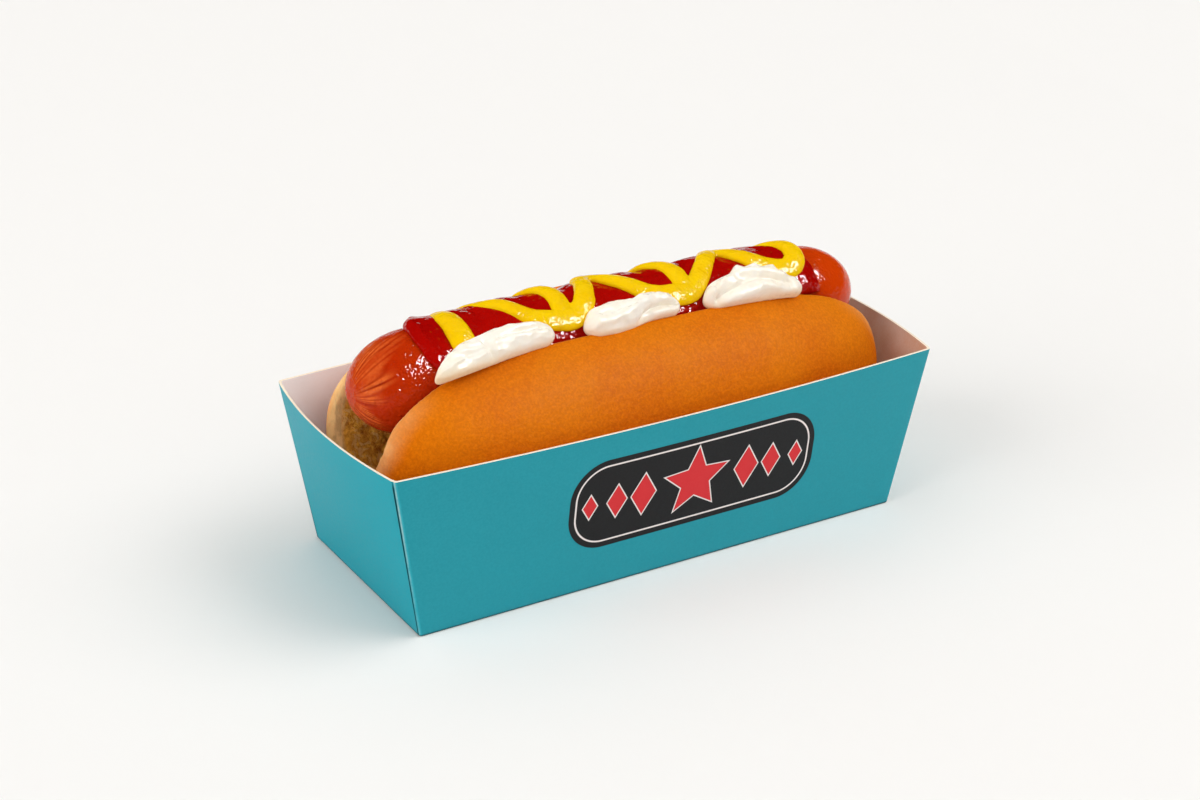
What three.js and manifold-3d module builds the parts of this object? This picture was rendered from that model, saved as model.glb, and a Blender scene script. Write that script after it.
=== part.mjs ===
// A dressed hot dog in its open paperboard tray.
// Millimetres, +Z up. The origin is the centre of the tray's underside; +X runs along the hot dog,
// and the tray's long front wall faces -Y.
//
// Every body here is free-form, so each one is a loft: a row of closed rings, joined by quads and
// shut at both ends. Neighbours that touch are cut by a slightly swollen copy of each other, which
// leaves a small gap between them.

import * as THREE from 'three';
import { mergeVertices } from 'three/addons/utils/BufferGeometryUtils.js';
import Module from 'manifold-3d';

const wasm = await Module();
wasm.setup();

// ---------- Driving dimensions ----------

// Space left between neighbours, and the distance within which two points of a loft are one.
const GAP = 0.3;
const WELD = 1e-4;

// Folded paperboard. The walls are straight at the base crease and bow outwards at the rim.
const TRAY = {
  baseLength: 148.8,
  baseWidth: 60.5,
  rimLength: 165,
  rimWidth: 67,
  height: 47.2,
  board: 0.6,
  endBow: 3.6,
  sideBow: 3.2,
  bowPower: 1.15,
  levels: 6,
  sideSteps: 16,
  endSteps: 8,
};

// A straight frankfurter with long rounded ends, gathered into creases where the skin was tied. The
// creases wander sideways, so that they aren't evenly spaced.
const SAUSAGE = {
  radius: 13.5,
  leftTip: -78.1,
  rightTip: 76.8,
  axisY: -0.4,
  axisZ: 55.8,
  capLength: 18,
  capSteps: 9,
  bodySteps: 10,
  sides: 48,
  creases: 11,
  creaseDepth: 0.5,
  wander: { amount: 0.35, waves: 2, phase: 1 },
};

// A soft roll, slit from the top almost to its base and opened by the frankfurter.
const BUN = {
  length: 158.4,
  halfWidth: 34,
  bottom: TRAY.board + GAP,
  waist: 36,
  top: 68,
  plumpness: 2.3,
  footSquareness: 3,
  endSquareness: 3.3,
  footTaper: 0.13,
  endTaper: 0.06,
  rings: 42,
  sides: 40,
};

// The slit: half-widths of its section at rising heights, from the hinge up past the lips.
const SLIT = {
  section: [[0.4, 17], [3.2, 21], [9.4, 33], [13, 45], [13.6, 56], [13.2, 63], [15.5, 70], [20, 80]],
  narrowest: 0.1,
  overrun: 10,
};

// A layer of ketchup lying along the top of the frankfurter. Angles here and below are degrees
// about the frankfurter's axis from straight up, positive towards the front. A fold is a wave whose
// phase grows by so many radians for each millimetre along and each degree around.
const KETCHUP = {
  left: -64.6,
  leftAngle: 10,
  leftCurl: 0.0025,
  right: 58.8,
  rightAngle: 52,
  rightCurl: 0.0014,
  farAngle: -62,
  nearAngle: 78,
  thickness: 2,
  edge: 2.2,
  rim: 0.35,
  folds: [
    { height: 0.35, along: 0.5, around: 0.03 },
    { height: 0.2, along: 0.23, around: -0.06 },
  ],
  lengthSteps: 30,
  aroundSteps: 12,
  crowding: 0.125,
};

// One bead of mustard, pressed flat by its own weight.
const MUSTARD = {
  halfWidth: 3.1,
  height: 2.7,
  lift: 0.2,
  tipTaper: 0.75,
  step: 2.7,
  sides: 9,
  passSteps: 5,
  forwardSag: 1.6,
};

// The bead's turns. It swings between the far side and the front of the frankfurter; bulge bends the
// pass that leads to a turn along the frankfurter, and swell thickens that pass.
const MUSTARD_RUNS = [
  [
    { x: -49.8, angle: 54, width: 1.05 },
    { x: -47.8, angle: -36, width: 0.85, bulge: -1.6, swell: 0.05 },
    { x: -38, angle: -24, width: 0.9, bulge: 0, swell: 0 },
    { x: -20.5, angle: 40, width: 1.3, bulge: 0, swell: -0.15 },
    { x: -3, angle: -27, width: 0.95, bulge: 0.6, swell: 0.1 },
    { x: 14.5, angle: 41, width: 1.25, bulge: 0, swell: -0.15 },
    { x: 34.5, angle: -19, width: 0.95, bulge: 0, swell: 0.05 },
    { x: 51, angle: 43, width: 1.2, bulge: 0, swell: -0.1 },
    { x: 48.5, angle: -14, width: 0.85, bulge: 5.2, swell: 0 },
  ],
  [
    { x: -20.9, angle: 38, width: 1.1 },
    { x: -20.6, angle: -24, width: 0.85, bulge: 0, swell: 0 },
    { x: -6, angle: -27, width: 0.8, bulge: 0, swell: 0 },
  ],
  [
    { x: 15.2, angle: 38, width: 1.1 },
    { x: 17.2, angle: -29, width: 0.85, bulge: -0.6, swell: 0 },
  ],
];

// Dollops of mayonnaise in the groove between the frankfurter and the front lip of the bun. A dollop's
// upper and lower edges are given at even stations from left to right, as shares of the way across
// the groove, and its crown in millimetres above them. Swirls are waves that run along and around a
// dollop, and lump says how strongly they swell and thin its crown.
const GROOVE = {
  top: [-9.5, 69],
  foot: [-19.8, 64],
};
const MAYONNAISE = {
  belly: 3,
  bluntness: 3.2,
  swirls: [{ along: 9, around: 2 }, { along: 17, around: -1 }],
  rings: 18,
  sides: 14,
};
const DOLLOPS = [
  {
    left: -62,
    right: -25.5,
    upper: [0.5, 0.12, 0, -0.04, 0.05],
    lower: [1.1, 1, 0.84, 0.68, 0.58],
    crown: [3, 3.6, 4, 3.8, 3.2],
    lump: 0.1,
  },
  {
    left: -18.6,
    right: 14,
    upper: [0.1, 0, 0.02, -0.05, 0.1],
    lower: [1, 0.98, 0.72, 0.58, 0.6],
    crown: [4.2, 4.6, 4, 4.4, 3.4],
    lump: 0.14,
  },
  {
    left: 19.6,
    right: 51.4,
    upper: [0.12, -0.06, -0.08, 0, 0.4],
    lower: [0.95, 0.85, 0.8, 0.75, 0.9],
    crown: [4.6, 6.2, 5.2, 5.8, 3.6],
    lump: 0.16,
  },
];

const FINISHES = {
  tray: { color: 0x35919c, roughness: 0.6 },
  bun: { color: 0xd98030, roughness: 0.55 },
  sausage: { color: 0xb8401a, roughness: 0.25 },
  ketchup: { color: 0x9c0d08, roughness: 0.15 },
  mayonnaise: { color: 0xf3ead8, roughness: 0.35 },
};

// ---------- Solids ----------

// Joins closed rings of equal length, and shuts the first and the last with a fan about its centre.
function loft(rings) {
  const count = rings[0].length;
  const points = rings.flat();
  const triangles = [];
  for (let r = 0; r < rings.length - 1; r += 1) {
    for (let i = 0; i < count; i += 1) {
      const a = r * count + i;
      const b = r * count + ((i + 1) % count);
      triangles.push([a, b, b + count], [a, b + count, a + count]);
    }
  }
  const shut = (ring, first, flip) => {
    const hub = new THREE.Vector3();
    ring.forEach((point) => hub.addScaledVector(point, 1 / count));
    points.push(hub);
    for (let i = 0; i < count; i += 1) {
      const a = first + i;
      const b = first + ((i + 1) % count);
      triangles.push(flip ? [points.length - 1, b, a] : [points.length - 1, a, b]);
    }
  };
  shut(rings[0], 0, true);
  shut(rings[rings.length - 1], (rings.length - 1) * count, false);
  return facingOut(points, triangles);
}

// Joins an outer and an inner sheet of the same grid along their edges.
function skin(outer, inner) {
  const rows = outer.length;
  const columns = outer[0].length;
  const points = [...outer.flat(), ...inner.flat()];
  const triangles = [];
  const at = (sheet, row, column) => sheet * rows * columns + row * columns + column;
  for (let r = 0; r < rows - 1; r += 1) {
    for (let c = 0; c < columns - 1; c += 1) {
      triangles.push([at(0, r, c), at(0, r, c + 1), at(0, r + 1, c + 1)]);
      triangles.push([at(0, r, c), at(0, r + 1, c + 1), at(0, r + 1, c)]);
      triangles.push([at(1, r, c), at(1, r + 1, c + 1), at(1, r, c + 1)]);
      triangles.push([at(1, r, c), at(1, r + 1, c), at(1, r + 1, c + 1)]);
    }
  }
  const border = [];
  for (let c = 0; c < columns - 1; c += 1) border.push([0, c]);
  for (let r = 0; r < rows - 1; r += 1) border.push([r, columns - 1]);
  for (let c = columns - 1; c > 0; c -= 1) border.push([rows - 1, c]);
  for (let r = rows - 1; r > 0; r -= 1) border.push([r, 0]);
  border.forEach(([row, column], i) => {
    const [nextRow, nextColumn] = border[(i + 1) % border.length];
    const a = at(0, row, column);
    const b = at(0, nextRow, nextColumn);
    const c = at(1, nextRow, nextColumn);
    const d = at(1, row, column);
    triangles.push([a, d, c], [a, c, b]);
  });
  return facingOut(points, triangles);
}

// Welds a closed set of triangles, and turns them all over if they enclose a negative volume.
function facingOut(points, triangles) {
  let volume = 0;
  triangles.forEach(([a, b, c]) => {
    volume += points[a].dot(new THREE.Vector3().crossVectors(points[b], points[c]));
  });
  const index = triangles.flatMap(([a, b, c]) => (volume > 0 ? [a, b, c] : [a, c, b]));
  const geometry = new THREE.BufferGeometry().setFromPoints(points);
  geometry.setIndex(index);
  return mergeVertices(geometry, WELD);
}

function toSolid(geometry) {
  return new wasm.Manifold(new wasm.Mesh({
    numProp: 3,
    vertProperties: new Float32Array(geometry.attributes.position.array),
    triVerts: new Uint32Array(geometry.index.array),
  }));
}

function toGeometry(solid) {
  const mesh = solid.getMesh();
  const geometry = new THREE.BufferGeometry();
  geometry.setAttribute('position', new THREE.BufferAttribute(mesh.vertProperties, 3));
  geometry.setIndex(new THREE.BufferAttribute(mesh.triVerts, 1));
  return geometry;
}

// The largest connected body of a cut, without its crumbs.
function mainBody(solid) {
  return solid.decompose().sort((a, b) => b.volume() - a.volume())[0];
}

function lerp(a, b, t) {
  return a + (b - a) * t;
}

function signedPower(value, power) {
  return Math.sign(value) * Math.abs(value) ** power;
}

function range(count) {
  return Array.from({ length: count }, (_, i) => i);
}

function total(items, value) {
  return items.reduce((sum, item) => sum + value(item), 0);
}

// ---------- Tray ----------

// One ring of the tray's wall at a height, pulled in by an inset.
function trayRing(height, inset) {
  const t = height / TRAY.height;
  const halfLength = lerp(TRAY.baseLength, TRAY.rimLength, t) / 2 - inset;
  const halfWidth = lerp(TRAY.baseWidth, TRAY.rimWidth, t) / 2 - inset;
  const swell = t ** TRAY.bowPower;
  const bow = (depth, s) => depth * swell * (1 - s * s);
  const along = range(TRAY.sideSteps).map((i) => -1 + (2 * i) / TRAY.sideSteps);
  const across = range(TRAY.endSteps).map((i) => -1 + (2 * i) / TRAY.endSteps);
  return [
    ...along.map((s) => [s * halfLength, -halfWidth - bow(TRAY.sideBow, s)]),
    ...across.map((s) => [halfLength + bow(TRAY.endBow, s), s * halfWidth]),
    ...along.map((s) => [-s * halfLength, halfWidth + bow(TRAY.sideBow, s)]),
    ...across.map((s) => [-halfLength - bow(TRAY.endBow, s), -s * halfWidth]),
  ].map(([x, y]) => new THREE.Vector3(x, y, height));
}

function trayGeometry() {
  const levels = range(TRAY.levels).map((i) => i / (TRAY.levels - 1));
  const outside = levels.map((t) => trayRing(t * TRAY.height, 0));
  const inside = levels.map((t) => trayRing(lerp(TRAY.height, TRAY.board, t), TRAY.board));
  return loft([...outside, ...inside]);
}

// ---------- Frankfurter ----------

function sausagePoint(x, radius, angle) {
  return new THREE.Vector3(
    x,
    SAUSAGE.axisY - radius * Math.sin(angle),
    SAUSAGE.axisZ + radius * Math.cos(angle),
  );
}

// The skin's radius at a distance from the nearer tip; the creases deepen towards the tie.
function sausageRadius(fromTip, angle, swell) {
  const reach = Math.min(fromTip / SAUSAGE.capLength, 1);
  const radius = SAUSAGE.radius * Math.sqrt(1 - (1 - reach) ** 2);
  const { amount, waves, phase } = SAUSAGE.wander;
  const place = angle + amount * Math.sin(waves * angle + phase);
  const crease = SAUSAGE.creaseDepth * Math.sin(Math.PI * reach) ** 2 * (1 - reach);
  return radius - crease * (1 + Math.cos(SAUSAGE.creases * place)) + swell;
}

function sausageSolid(swell) {
  const length = SAUSAGE.rightTip - SAUSAGE.leftTip;
  const cap = range(SAUSAGE.capSteps).map((i) => {
    return SAUSAGE.capLength * (1 - Math.cos(((i + 0.5) / SAUSAGE.capSteps) * (Math.PI / 2)));
  });
  const body = range(SAUSAGE.bodySteps + 1).map((i) => {
    return lerp(SAUSAGE.capLength, length - SAUSAGE.capLength, i / SAUSAGE.bodySteps);
  });
  const stations = [...cap, ...body, ...cap.map((d) => length - d).reverse()];
  const rings = stations.map((d) => range(SAUSAGE.sides).map((i) => {
    const angle = (2 * Math.PI * i) / SAUSAGE.sides;
    const fromTip = Math.min(d, length - d);
    return sausagePoint(SAUSAGE.leftTip + d, sausageRadius(fromTip, angle, swell), angle);
  }));
  return toSolid(loft(rings));
}

// ---------- Bun ----------

// One section of the uncut roll, a superellipse with a squarer, slightly narrower foot.
function bunRing(s, swell) {
  const shrink = (1 - Math.abs(s) ** BUN.endSquareness) ** (1 / BUN.endSquareness);
  const halfWidth = BUN.halfWidth * shrink + swell;
  const crown = (BUN.top - BUN.waist) * shrink + swell;
  const foot = (BUN.waist - BUN.bottom) * shrink + swell;
  return range(BUN.sides).map((i) => {
    const angle = (2 * Math.PI * i) / BUN.sides;
    const upper = Math.sin(angle) >= 0;
    const power = 2 / (upper ? BUN.plumpness : BUN.footSquareness);
    const rise = signedPower(Math.sin(angle), power) * (upper ? crown : foot);
    const taper = upper ? 1 : 1 + (BUN.footTaper * rise) / BUN.waist;
    const y = signedPower(Math.cos(angle), power) * halfWidth * taper;
    const reach = 1 + (BUN.endTaper * Math.min(rise, 0)) / BUN.waist;
    return new THREE.Vector3((s * reach * BUN.length) / 2, y, BUN.waist + rise);
  });
}

function slitSolid(shrink) {
  const outline = SLIT.section.map(([half, z]) => [Math.max(half - shrink, SLIT.narrowest), z]);
  const section = [...outline, ...outline.map(([half, z]) => [-half, z]).reverse()];
  const reach = BUN.length / 2 + SLIT.overrun;
  return toSolid(loft([-reach, reach].map((x) => {
    return section.map(([y, z]) => new THREE.Vector3(x, SAUSAGE.axisY + y, z));
  })));
}

function bunSolid(swell) {
  const rings = range(BUN.rings).map((i) => {
    const turn = Math.PI * ((i + 0.5) / BUN.rings);
    return bunRing(-Math.cos(turn), swell);
  });
  return toSolid(loft(rings)).subtract(slitSolid(swell)).subtract(sausageSolid(GAP - swell));
}

// ---------- Ketchup and mustard ----------

const DEGREE = Math.PI / 180;

function ketchupLeft(angle) {
  return KETCHUP.left + KETCHUP.leftCurl * (angle - KETCHUP.leftAngle) ** 2;
}

function ketchupRight(angle) {
  return KETCHUP.right - KETCHUP.rightCurl * (angle - KETCHUP.rightAngle) ** 2;
}

// How thick the layer stands at a place, rounded off towards its edges and gently folded.
function ketchupHeight(x, angle) {
  const arc = DEGREE * SAUSAGE.radius;
  const fromEdge = Math.min(
    x - ketchupLeft(angle),
    ketchupRight(angle) - x,
    (angle - KETCHUP.farAngle) * arc,
    (KETCHUP.nearAngle - angle) * arc,
  );
  const reach = Math.min(Math.max(fromEdge / KETCHUP.edge, 0), 1);
  const round = Math.sqrt(1 - (1 - reach) ** 2);
  const folds = total(KETCHUP.folds, ({ height, along, around }) => {
    return height * Math.sin(along * x + around * angle);
  });
  return KETCHUP.rim + (KETCHUP.thickness - KETCHUP.rim + folds * reach) * round;
}

// Steps from 0 to 1 that crowd towards both ends.
function crowded(steps) {
  return range(steps + 1).map((i) => {
    const t = i / steps;
    return t - KETCHUP.crowding * Math.sin(2 * Math.PI * t);
  });
}

function ketchupSolid() {
  const sheet = (raised) => crowded(KETCHUP.lengthSteps).map((u) => {
    return crowded(KETCHUP.aroundSteps).map((v) => {
      const angle = lerp(KETCHUP.farAngle, KETCHUP.nearAngle, v);
      const x = lerp(ketchupLeft(angle), ketchupRight(angle), u);
      const height = raised ? ketchupHeight(x, angle) : 0;
      return sausagePoint(x, SAUSAGE.radius + GAP + height, angle * DEGREE);
    });
  });
  return toSolid(skin(sheet(true), sheet(false)));
}

// A place on the pass between two turns: it leaves and reaches them along the frankfurter, and on its
// way to the front it falls steeply at first and then runs forward.
function mustardPlace(from, to, t) {
  const sweep = to.angle > from.angle ? t ** MUSTARD.forwardSag : t;
  const arch = Math.sin(Math.PI * t);
  return new THREE.Vector3(
    lerp(from.x, to.x, sweep) + to.bulge * arch,
    lerp(from.angle, to.angle, (1 - Math.cos(Math.PI * t)) / 2) * DEGREE * SAUSAGE.radius,
    lerp(from.width, to.width, t) + to.swell * arch,
  );
}

// A flattened bead laid over the ketchup through a run of turns.
function mustardSolid(turns, swell) {
  const passes = turns.slice(1).flatMap((to, i) => {
    return range(MUSTARD.passSteps).map((k) => {
      return mustardPlace(turns[i], to, k / MUSTARD.passSteps);
    });
  });
  const end = turns[turns.length - 1];
  passes.push(new THREE.Vector3(end.x, end.angle * DEGREE * SAUSAGE.radius, end.width));
  const course = new THREE.CatmullRomCurve3(passes, false, 'centripetal');
  const steps = Math.ceil(course.getLength() / MUSTARD.step);
  const places = range(steps + 1).map((i) => {
    const { x, y, z } = course.getPointAt(i / steps);
    const degrees = y / (DEGREE * SAUSAGE.radius);
    const bed = SAUSAGE.radius + GAP + ketchupHeight(x, degrees) + MUSTARD.lift;
    const fromTip = Math.min(i, steps - i, 1);
    const width = z * Math.sqrt(1 - MUSTARD.tipTaper * (1 - fromTip));
    return { centre: sausagePoint(x, bed, degrees * DEGREE), angle: degrees * DEGREE, width };
  });
  const rings = places.map(({ centre, angle, width }, i) => {
    const before = places[Math.max(i - 1, 0)].centre;
    const after = places[Math.min(i + 1, steps)].centre;
    const ahead = new THREE.Vector3().subVectors(after, before).normalize();
    const up = new THREE.Vector3(0, -Math.sin(angle), Math.cos(angle));
    const side = new THREE.Vector3().crossVectors(ahead, up).normalize();
    return range(MUSTARD.sides).map((k) => {
      const turn = (2 * Math.PI * k) / MUSTARD.sides;
      return centre.clone()
        .addScaledVector(side, Math.cos(turn) * (MUSTARD.halfWidth * width + swell))
        .addScaledVector(up, Math.sin(turn) * ((MUSTARD.height / 2) * Math.sqrt(width) + swell));
    });
  });
  return toSolid(loft(rings));
}

function saucesSolid(swell) {
  const layer = ketchupSolid();
  return MUSTARD_RUNS.reduce((body, run) => body.add(mustardSolid(run, swell)), layer);
}

// ---------- Mayonnaise ----------

function dollopSolid({ left, right, upper, lower, crown, lump }) {
  const stations = new THREE.CatmullRomCurve3(upper.map((share, i) => {
    return new THREE.Vector3(share, lower[i], crown[i]);
  }));
  const top = new THREE.Vector2(...GROOVE.top);
  const across = new THREE.Vector2(...GROOVE.foot).sub(top);
  const up = new THREE.Vector2(across.y, -across.x).normalize();
  const rings = range(MAYONNAISE.rings).map((i) => {
    const s = -Math.cos(Math.PI * ((i + 0.5) / MAYONNAISE.rings));
    const t = (s + 1) / 2;
    const { x: high, y: low, z: rise } = stations.getPoint(t);
    const shrink = (1 - Math.abs(s) ** MAYONNAISE.bluntness) ** (1 / MAYONNAISE.bluntness);
    return range(MAYONNAISE.sides).map((k) => {
      const turn = (2 * Math.PI * k) / MAYONNAISE.sides;
      const share = (high + low) / 2 + ((low - high) / 2) * shrink * Math.cos(turn);
      const swirl = 1 + lump * total(MAYONNAISE.swirls, ({ along, around }) => {
        return Math.sin(along * t + around * turn);
      });
      const lift = Math.sin(turn) * shrink * (turn < Math.PI ? rise * swirl : MAYONNAISE.belly);
      const place = top.clone().addScaledVector(across, share).addScaledVector(up, lift);
      return new THREE.Vector3(lerp(left, right, t), place.x, place.y);
    });
  });
  return toSolid(loft(rings));
}

// ---------- Assembly ----------

function piece(name, geometry, finish) {
  const mesh = new THREE.Mesh(geometry, new THREE.MeshStandardMaterial({ ...finish, metalness: 0 }));
  mesh.name = name;
  return mesh;
}

const swollenBun = bunSolid(GAP);
const sauces = mainBody(saucesSolid(0).subtract(swollenBun));
const swollenSauces = saucesSolid(GAP);
const swollenSausage = sausageSolid(GAP);

const hotDog = new THREE.Group();
hotDog.add(piece('tray', trayGeometry(), FINISHES.tray));
hotDog.add(piece('bun', toGeometry(mainBody(bunSolid(0))), FINISHES.bun));
hotDog.add(piece('sausage', toGeometry(sausageSolid(0)), FINISHES.sausage));
hotDog.add(piece('ketchup', toGeometry(sauces), FINISHES.ketchup));
DOLLOPS.forEach((dollop, i) => {
  const body = dollopSolid(dollop)
    .subtract(swollenBun)
    .subtract(swollenSausage)
    .subtract(swollenSauces);
  hotDog.add(piece(`mayonnaise_${i + 1}`, toGeometry(mainBody(body)), FINISHES.mayonnaise));
});

export default hotDog;
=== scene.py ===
"""A dressed hot dog in its folded paperboard tray.

Run as a script: it loads the CAD frame, then one operator makes each piece with its finish, and the
last one makes the floor, the lights and the camera. Everything is in metres, with +X along the hot
dog, +Z up and the tray's printed front wall facing -Y. MM turns a size in millimetres into metres.

In the tables of looks, a scale counts waves in a metre, a noise is its scale, detail and roughness,
a share says how far a pattern mixes its colour in, and a pair is where a mask begins and ends.
"""

import math
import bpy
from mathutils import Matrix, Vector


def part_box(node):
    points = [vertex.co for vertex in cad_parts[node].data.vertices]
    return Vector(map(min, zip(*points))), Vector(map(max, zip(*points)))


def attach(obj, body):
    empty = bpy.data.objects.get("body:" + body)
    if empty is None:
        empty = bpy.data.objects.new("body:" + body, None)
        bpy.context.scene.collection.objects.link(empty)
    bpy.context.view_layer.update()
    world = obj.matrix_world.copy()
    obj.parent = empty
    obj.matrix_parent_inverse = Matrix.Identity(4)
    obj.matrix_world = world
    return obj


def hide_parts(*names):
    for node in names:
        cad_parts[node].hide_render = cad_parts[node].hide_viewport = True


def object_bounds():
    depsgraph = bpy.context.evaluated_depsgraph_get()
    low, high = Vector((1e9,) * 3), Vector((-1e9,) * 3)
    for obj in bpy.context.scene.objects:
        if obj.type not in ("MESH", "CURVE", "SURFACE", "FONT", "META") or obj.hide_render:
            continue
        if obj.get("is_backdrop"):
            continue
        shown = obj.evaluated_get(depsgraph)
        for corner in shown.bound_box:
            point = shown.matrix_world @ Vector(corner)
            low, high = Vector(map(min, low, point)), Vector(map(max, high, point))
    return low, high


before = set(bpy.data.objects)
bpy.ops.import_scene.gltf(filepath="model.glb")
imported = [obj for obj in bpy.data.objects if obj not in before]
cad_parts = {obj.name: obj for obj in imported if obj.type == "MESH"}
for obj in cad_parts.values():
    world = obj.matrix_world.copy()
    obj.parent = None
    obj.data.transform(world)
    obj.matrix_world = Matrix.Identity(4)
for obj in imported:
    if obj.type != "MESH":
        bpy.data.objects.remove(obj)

from types import SimpleNamespace

import bmesh
import bpy
import numpy as np
from bpy.props import FloatProperty, FloatVectorProperty, IntProperty, PointerProperty
from mathutils import Matrix, Vector, noise

bl_info = {
    "name": "Hot Dog",
    "version": (1, 0, 0),
    "blender": (4, 5, 0),
    "location": "View3D > Sidebar > Hot Dog",
    "description": "Makes a dressed hot dog in its paperboard tray around a CAD frame",
    "category": "Add Mesh",
}

CAD_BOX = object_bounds()
SAUSAGE_LOW, SAUSAGE_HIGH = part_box("sausage")
BUN_LOW, BUN_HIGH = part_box("bun")
SAUSAGE_AXIS = Vector((0, (SAUSAGE_LOW.y + SAUSAGE_HIGH.y) / 2,
                       (SAUSAGE_LOW.z + SAUSAGE_HIGH.z) / 2))
AXIS = {"Axis Y": SAUSAGE_AXIS.y, "Axis Z": SAUSAGE_AXIS.z}
BODY = "root"
MM = 0.001
# Room between a piece and what it lies on, the distance at which two points are one, and a
# number that keeps a division from failing.
GAP = 0.3 * MM
SLIVER = 0.0005 * MM
TINY = 1e-9
# Edges sharper than this stay sharp: on a sauce that was cut, and on the tray.
CUT_ANGLE = math.radians(55)
TRAY_ANGLE = math.radians(32)


def linear(hexadecimal):
    """A colour written as six hexadecimal digits, as the linear values that Blender works in."""
    channels = [int(hexadecimal[i:i + 2], 16) / 255 for i in (0, 2, 4)]
    return tuple(c / 12.92 if c <= 0.04045 else ((c + 0.055) / 1.055) ** 2.4 for c in channels)


def length(name, description, default):
    """A size property, in metres."""
    return FloatProperty(name=name, description=description, default=default, subtype="DISTANCE",
                         unit="LENGTH", precision=5)


def amount(name, description, default):
    """A plain number."""
    return FloatProperty(name=name, description=description, default=default, precision=4)


def colour(name, description, default):
    """A colour property."""
    return FloatVectorProperty(name=name, description=description, default=linear(default),
                               subtype="COLOR", size=3, min=0, max=1)


# ---------- What a user would change ----------


class TraySettings(bpy.types.PropertyGroup):
    """The folded paperboard tray."""

    base_length: length("Base Length", "Outer length at the base crease", 148.8 * MM)
    base_width: length("Base Width", "Outer width at the base crease", 60.5 * MM)
    rim_length: length("Rim Length", "Outer length between the rim's corners", 165 * MM)
    rim_width: length("Rim Width", "Outer width between the rim's corners", 67 * MM)
    height: length("Height", "Height of the walls", 47.2 * MM)
    board: length("Board", "Thickness of the board", 0.6 * MM)
    end_bow: length("End Bow", "How far an end wall's rim bows out", 3.6 * MM)
    side_bow: length("Side Bow", "How far a long wall's rim bows out", 3.2 * MM)
    print_colour: colour("Print", "Ink of the outside", "1195A4")
    board_colour: colour("Board Colour", "Bare inside of the board", "F7FCFF")
    edge_colour: colour("Cut Edge", "Raw cut edge of the board", "F1E3CB")
    # Painted shade and painted orange bounce light from the bun, on the inside of the right end.
    bun_bounce_shade_colour: colour("Grease", "Board at the right end, where it took up grease", "C98A58")
    badge_dark: colour("Badge Ground", "Dark ground of the badge", "0D0C0F")
    badge_red: colour("Badge Shapes", "Shapes on the badge", "DB2A30")
    badge_line: colour("Badge Lines", "Thin lines round the shapes", "F4E9E6")


class BunSettings(bpy.types.PropertyGroup):
    """The soft roll, slit from the top and opened."""

    half_length: length("Half Length", "From the middle to an end of the uncut roll", 79.2 * MM)
    half_width: length("Half Width", "From the middle to a side", BUN_HIGH.y)
    bottom: length("Bottom", "Height of the underside", BUN_LOW.z)
    waist: length("Waist", "Height at which the roll is widest", 36 * MM)
    top: length("Top", "Height of the uncut roll's crown", 68 * MM)
    hinge: length("Hinge", "Height of the slit's foot", 17 * MM)
    slit: length("Slit", "Half the slit's width beside the frankfurter", 13.4 * MM)
    voxel: length("Voxel", "Fineness of the mesh", 0.88 * MM)
    crust_colour: colour("Crust", "Baked crust on the sides", "DF7B08")
    crust_deep: colour("Deep Crust", "Darker blush of the crust", "CA5604")
    crust_pale: colour("Pale Crust", "Soft crust beside the cut", "F8CC8C")
    crumb_colour: colour("Crumb", "Inside of the roll", "FFC250")
    # Painted shade in the crumb's pores, and the colour of its darker veins.
    crumb_deep: colour("Deep Crumb", "Holes in the crumb", "D48C2C")


class SausageSettings(bpy.types.PropertyGroup):
    """The frankfurter."""

    radius: length("Radius", "Radius of the frankfurter", (SAUSAGE_HIGH.y - SAUSAGE_LOW.y) / 2)
    cap: length("Cap", "Length of a rounded end", 18 * MM)
    creases: IntProperty(name="Creases", description="Deep creases round an end", default=13)
    crease_depth: length("Crease Depth", "Depth of the deep creases", 0.2 * MM)
    fine_creases: IntProperty(name="Fine Creases", description="Fine creases round an end",
                              default=43)
    fine_depth: length("Fine Depth", "Depth of the fine creases", 0.26 * MM)
    knot: length("Knot", "Depth of the pucker where the skin was tied", 0.4 * MM)
    skin_colour: colour("Skin", "Cooked skin", "B83004")
    skin_deep: colour("Deep Skin", "Darker, redder skin", "AE1C02")
    # Painted highlight on the ridges between the creases at the tips.
    skin_ridge_highlight: colour("Pale Skin", "Stretched skin between the creases", "E0682C")
    # Painted warm bounce light on the right end of the frankfurter.
    skin_bounce_lit: colour("Warm Skin", "More orange skin towards the right end", "DA4604")


class SauceSettings(bpy.types.PropertyGroup):
    """Ketchup, mustard and mayonnaise."""

    ketchup_thickness: length("Ketchup", "Thickness of the ketchup", 2 * MM)
    mustard_width: length("Mustard Width", "Half the width of the mustard bead", 2.8 * MM)
    mustard_height: length("Mustard Height", "Height of the mustard bead", 2.8 * MM)
    ketchup_colour: colour("Ketchup", "Ketchup", "9E0402")
    ketchup_thin: colour("Thin Ketchup", "Ketchup where it lies thin", "B80E04")
    mustard_colour: colour("Mustard", "Mustard", "F4CA05")
    mustard_deep: colour("Deep Mustard", "Mustard in its hollows", "EDB602")
    mayonnaise_colour: colour("Mayonnaise", "Mayonnaise", "FAF5EA")
    # Mostly painted shade and painted warm bounce light from the bun, low on the dollops.
    mayonnaise_deep: colour("Deep Mayonnaise", "Mayonnaise where it lies thin", "EFC888")


class StageSettings(bpy.types.PropertyGroup):
    """Floor, light and camera."""

    azimuth: amount("Azimuth", "Camera's bearing in degrees, 0 in front", -32.29)
    elevation: amount("Elevation", "Camera's height above the horizon in degrees", 25.16)
    roll: amount("Roll", "Camera's roll in degrees", 1.4)
    distance: length("Distance", "From the camera to its target", 642.4 * MM)
    lens: amount("Lens", "Focal length in millimetres on a 36 mm sensor", 68.25)
    floor_colour: colour("Floor", "Pale floor", "F4F3F1")


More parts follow.
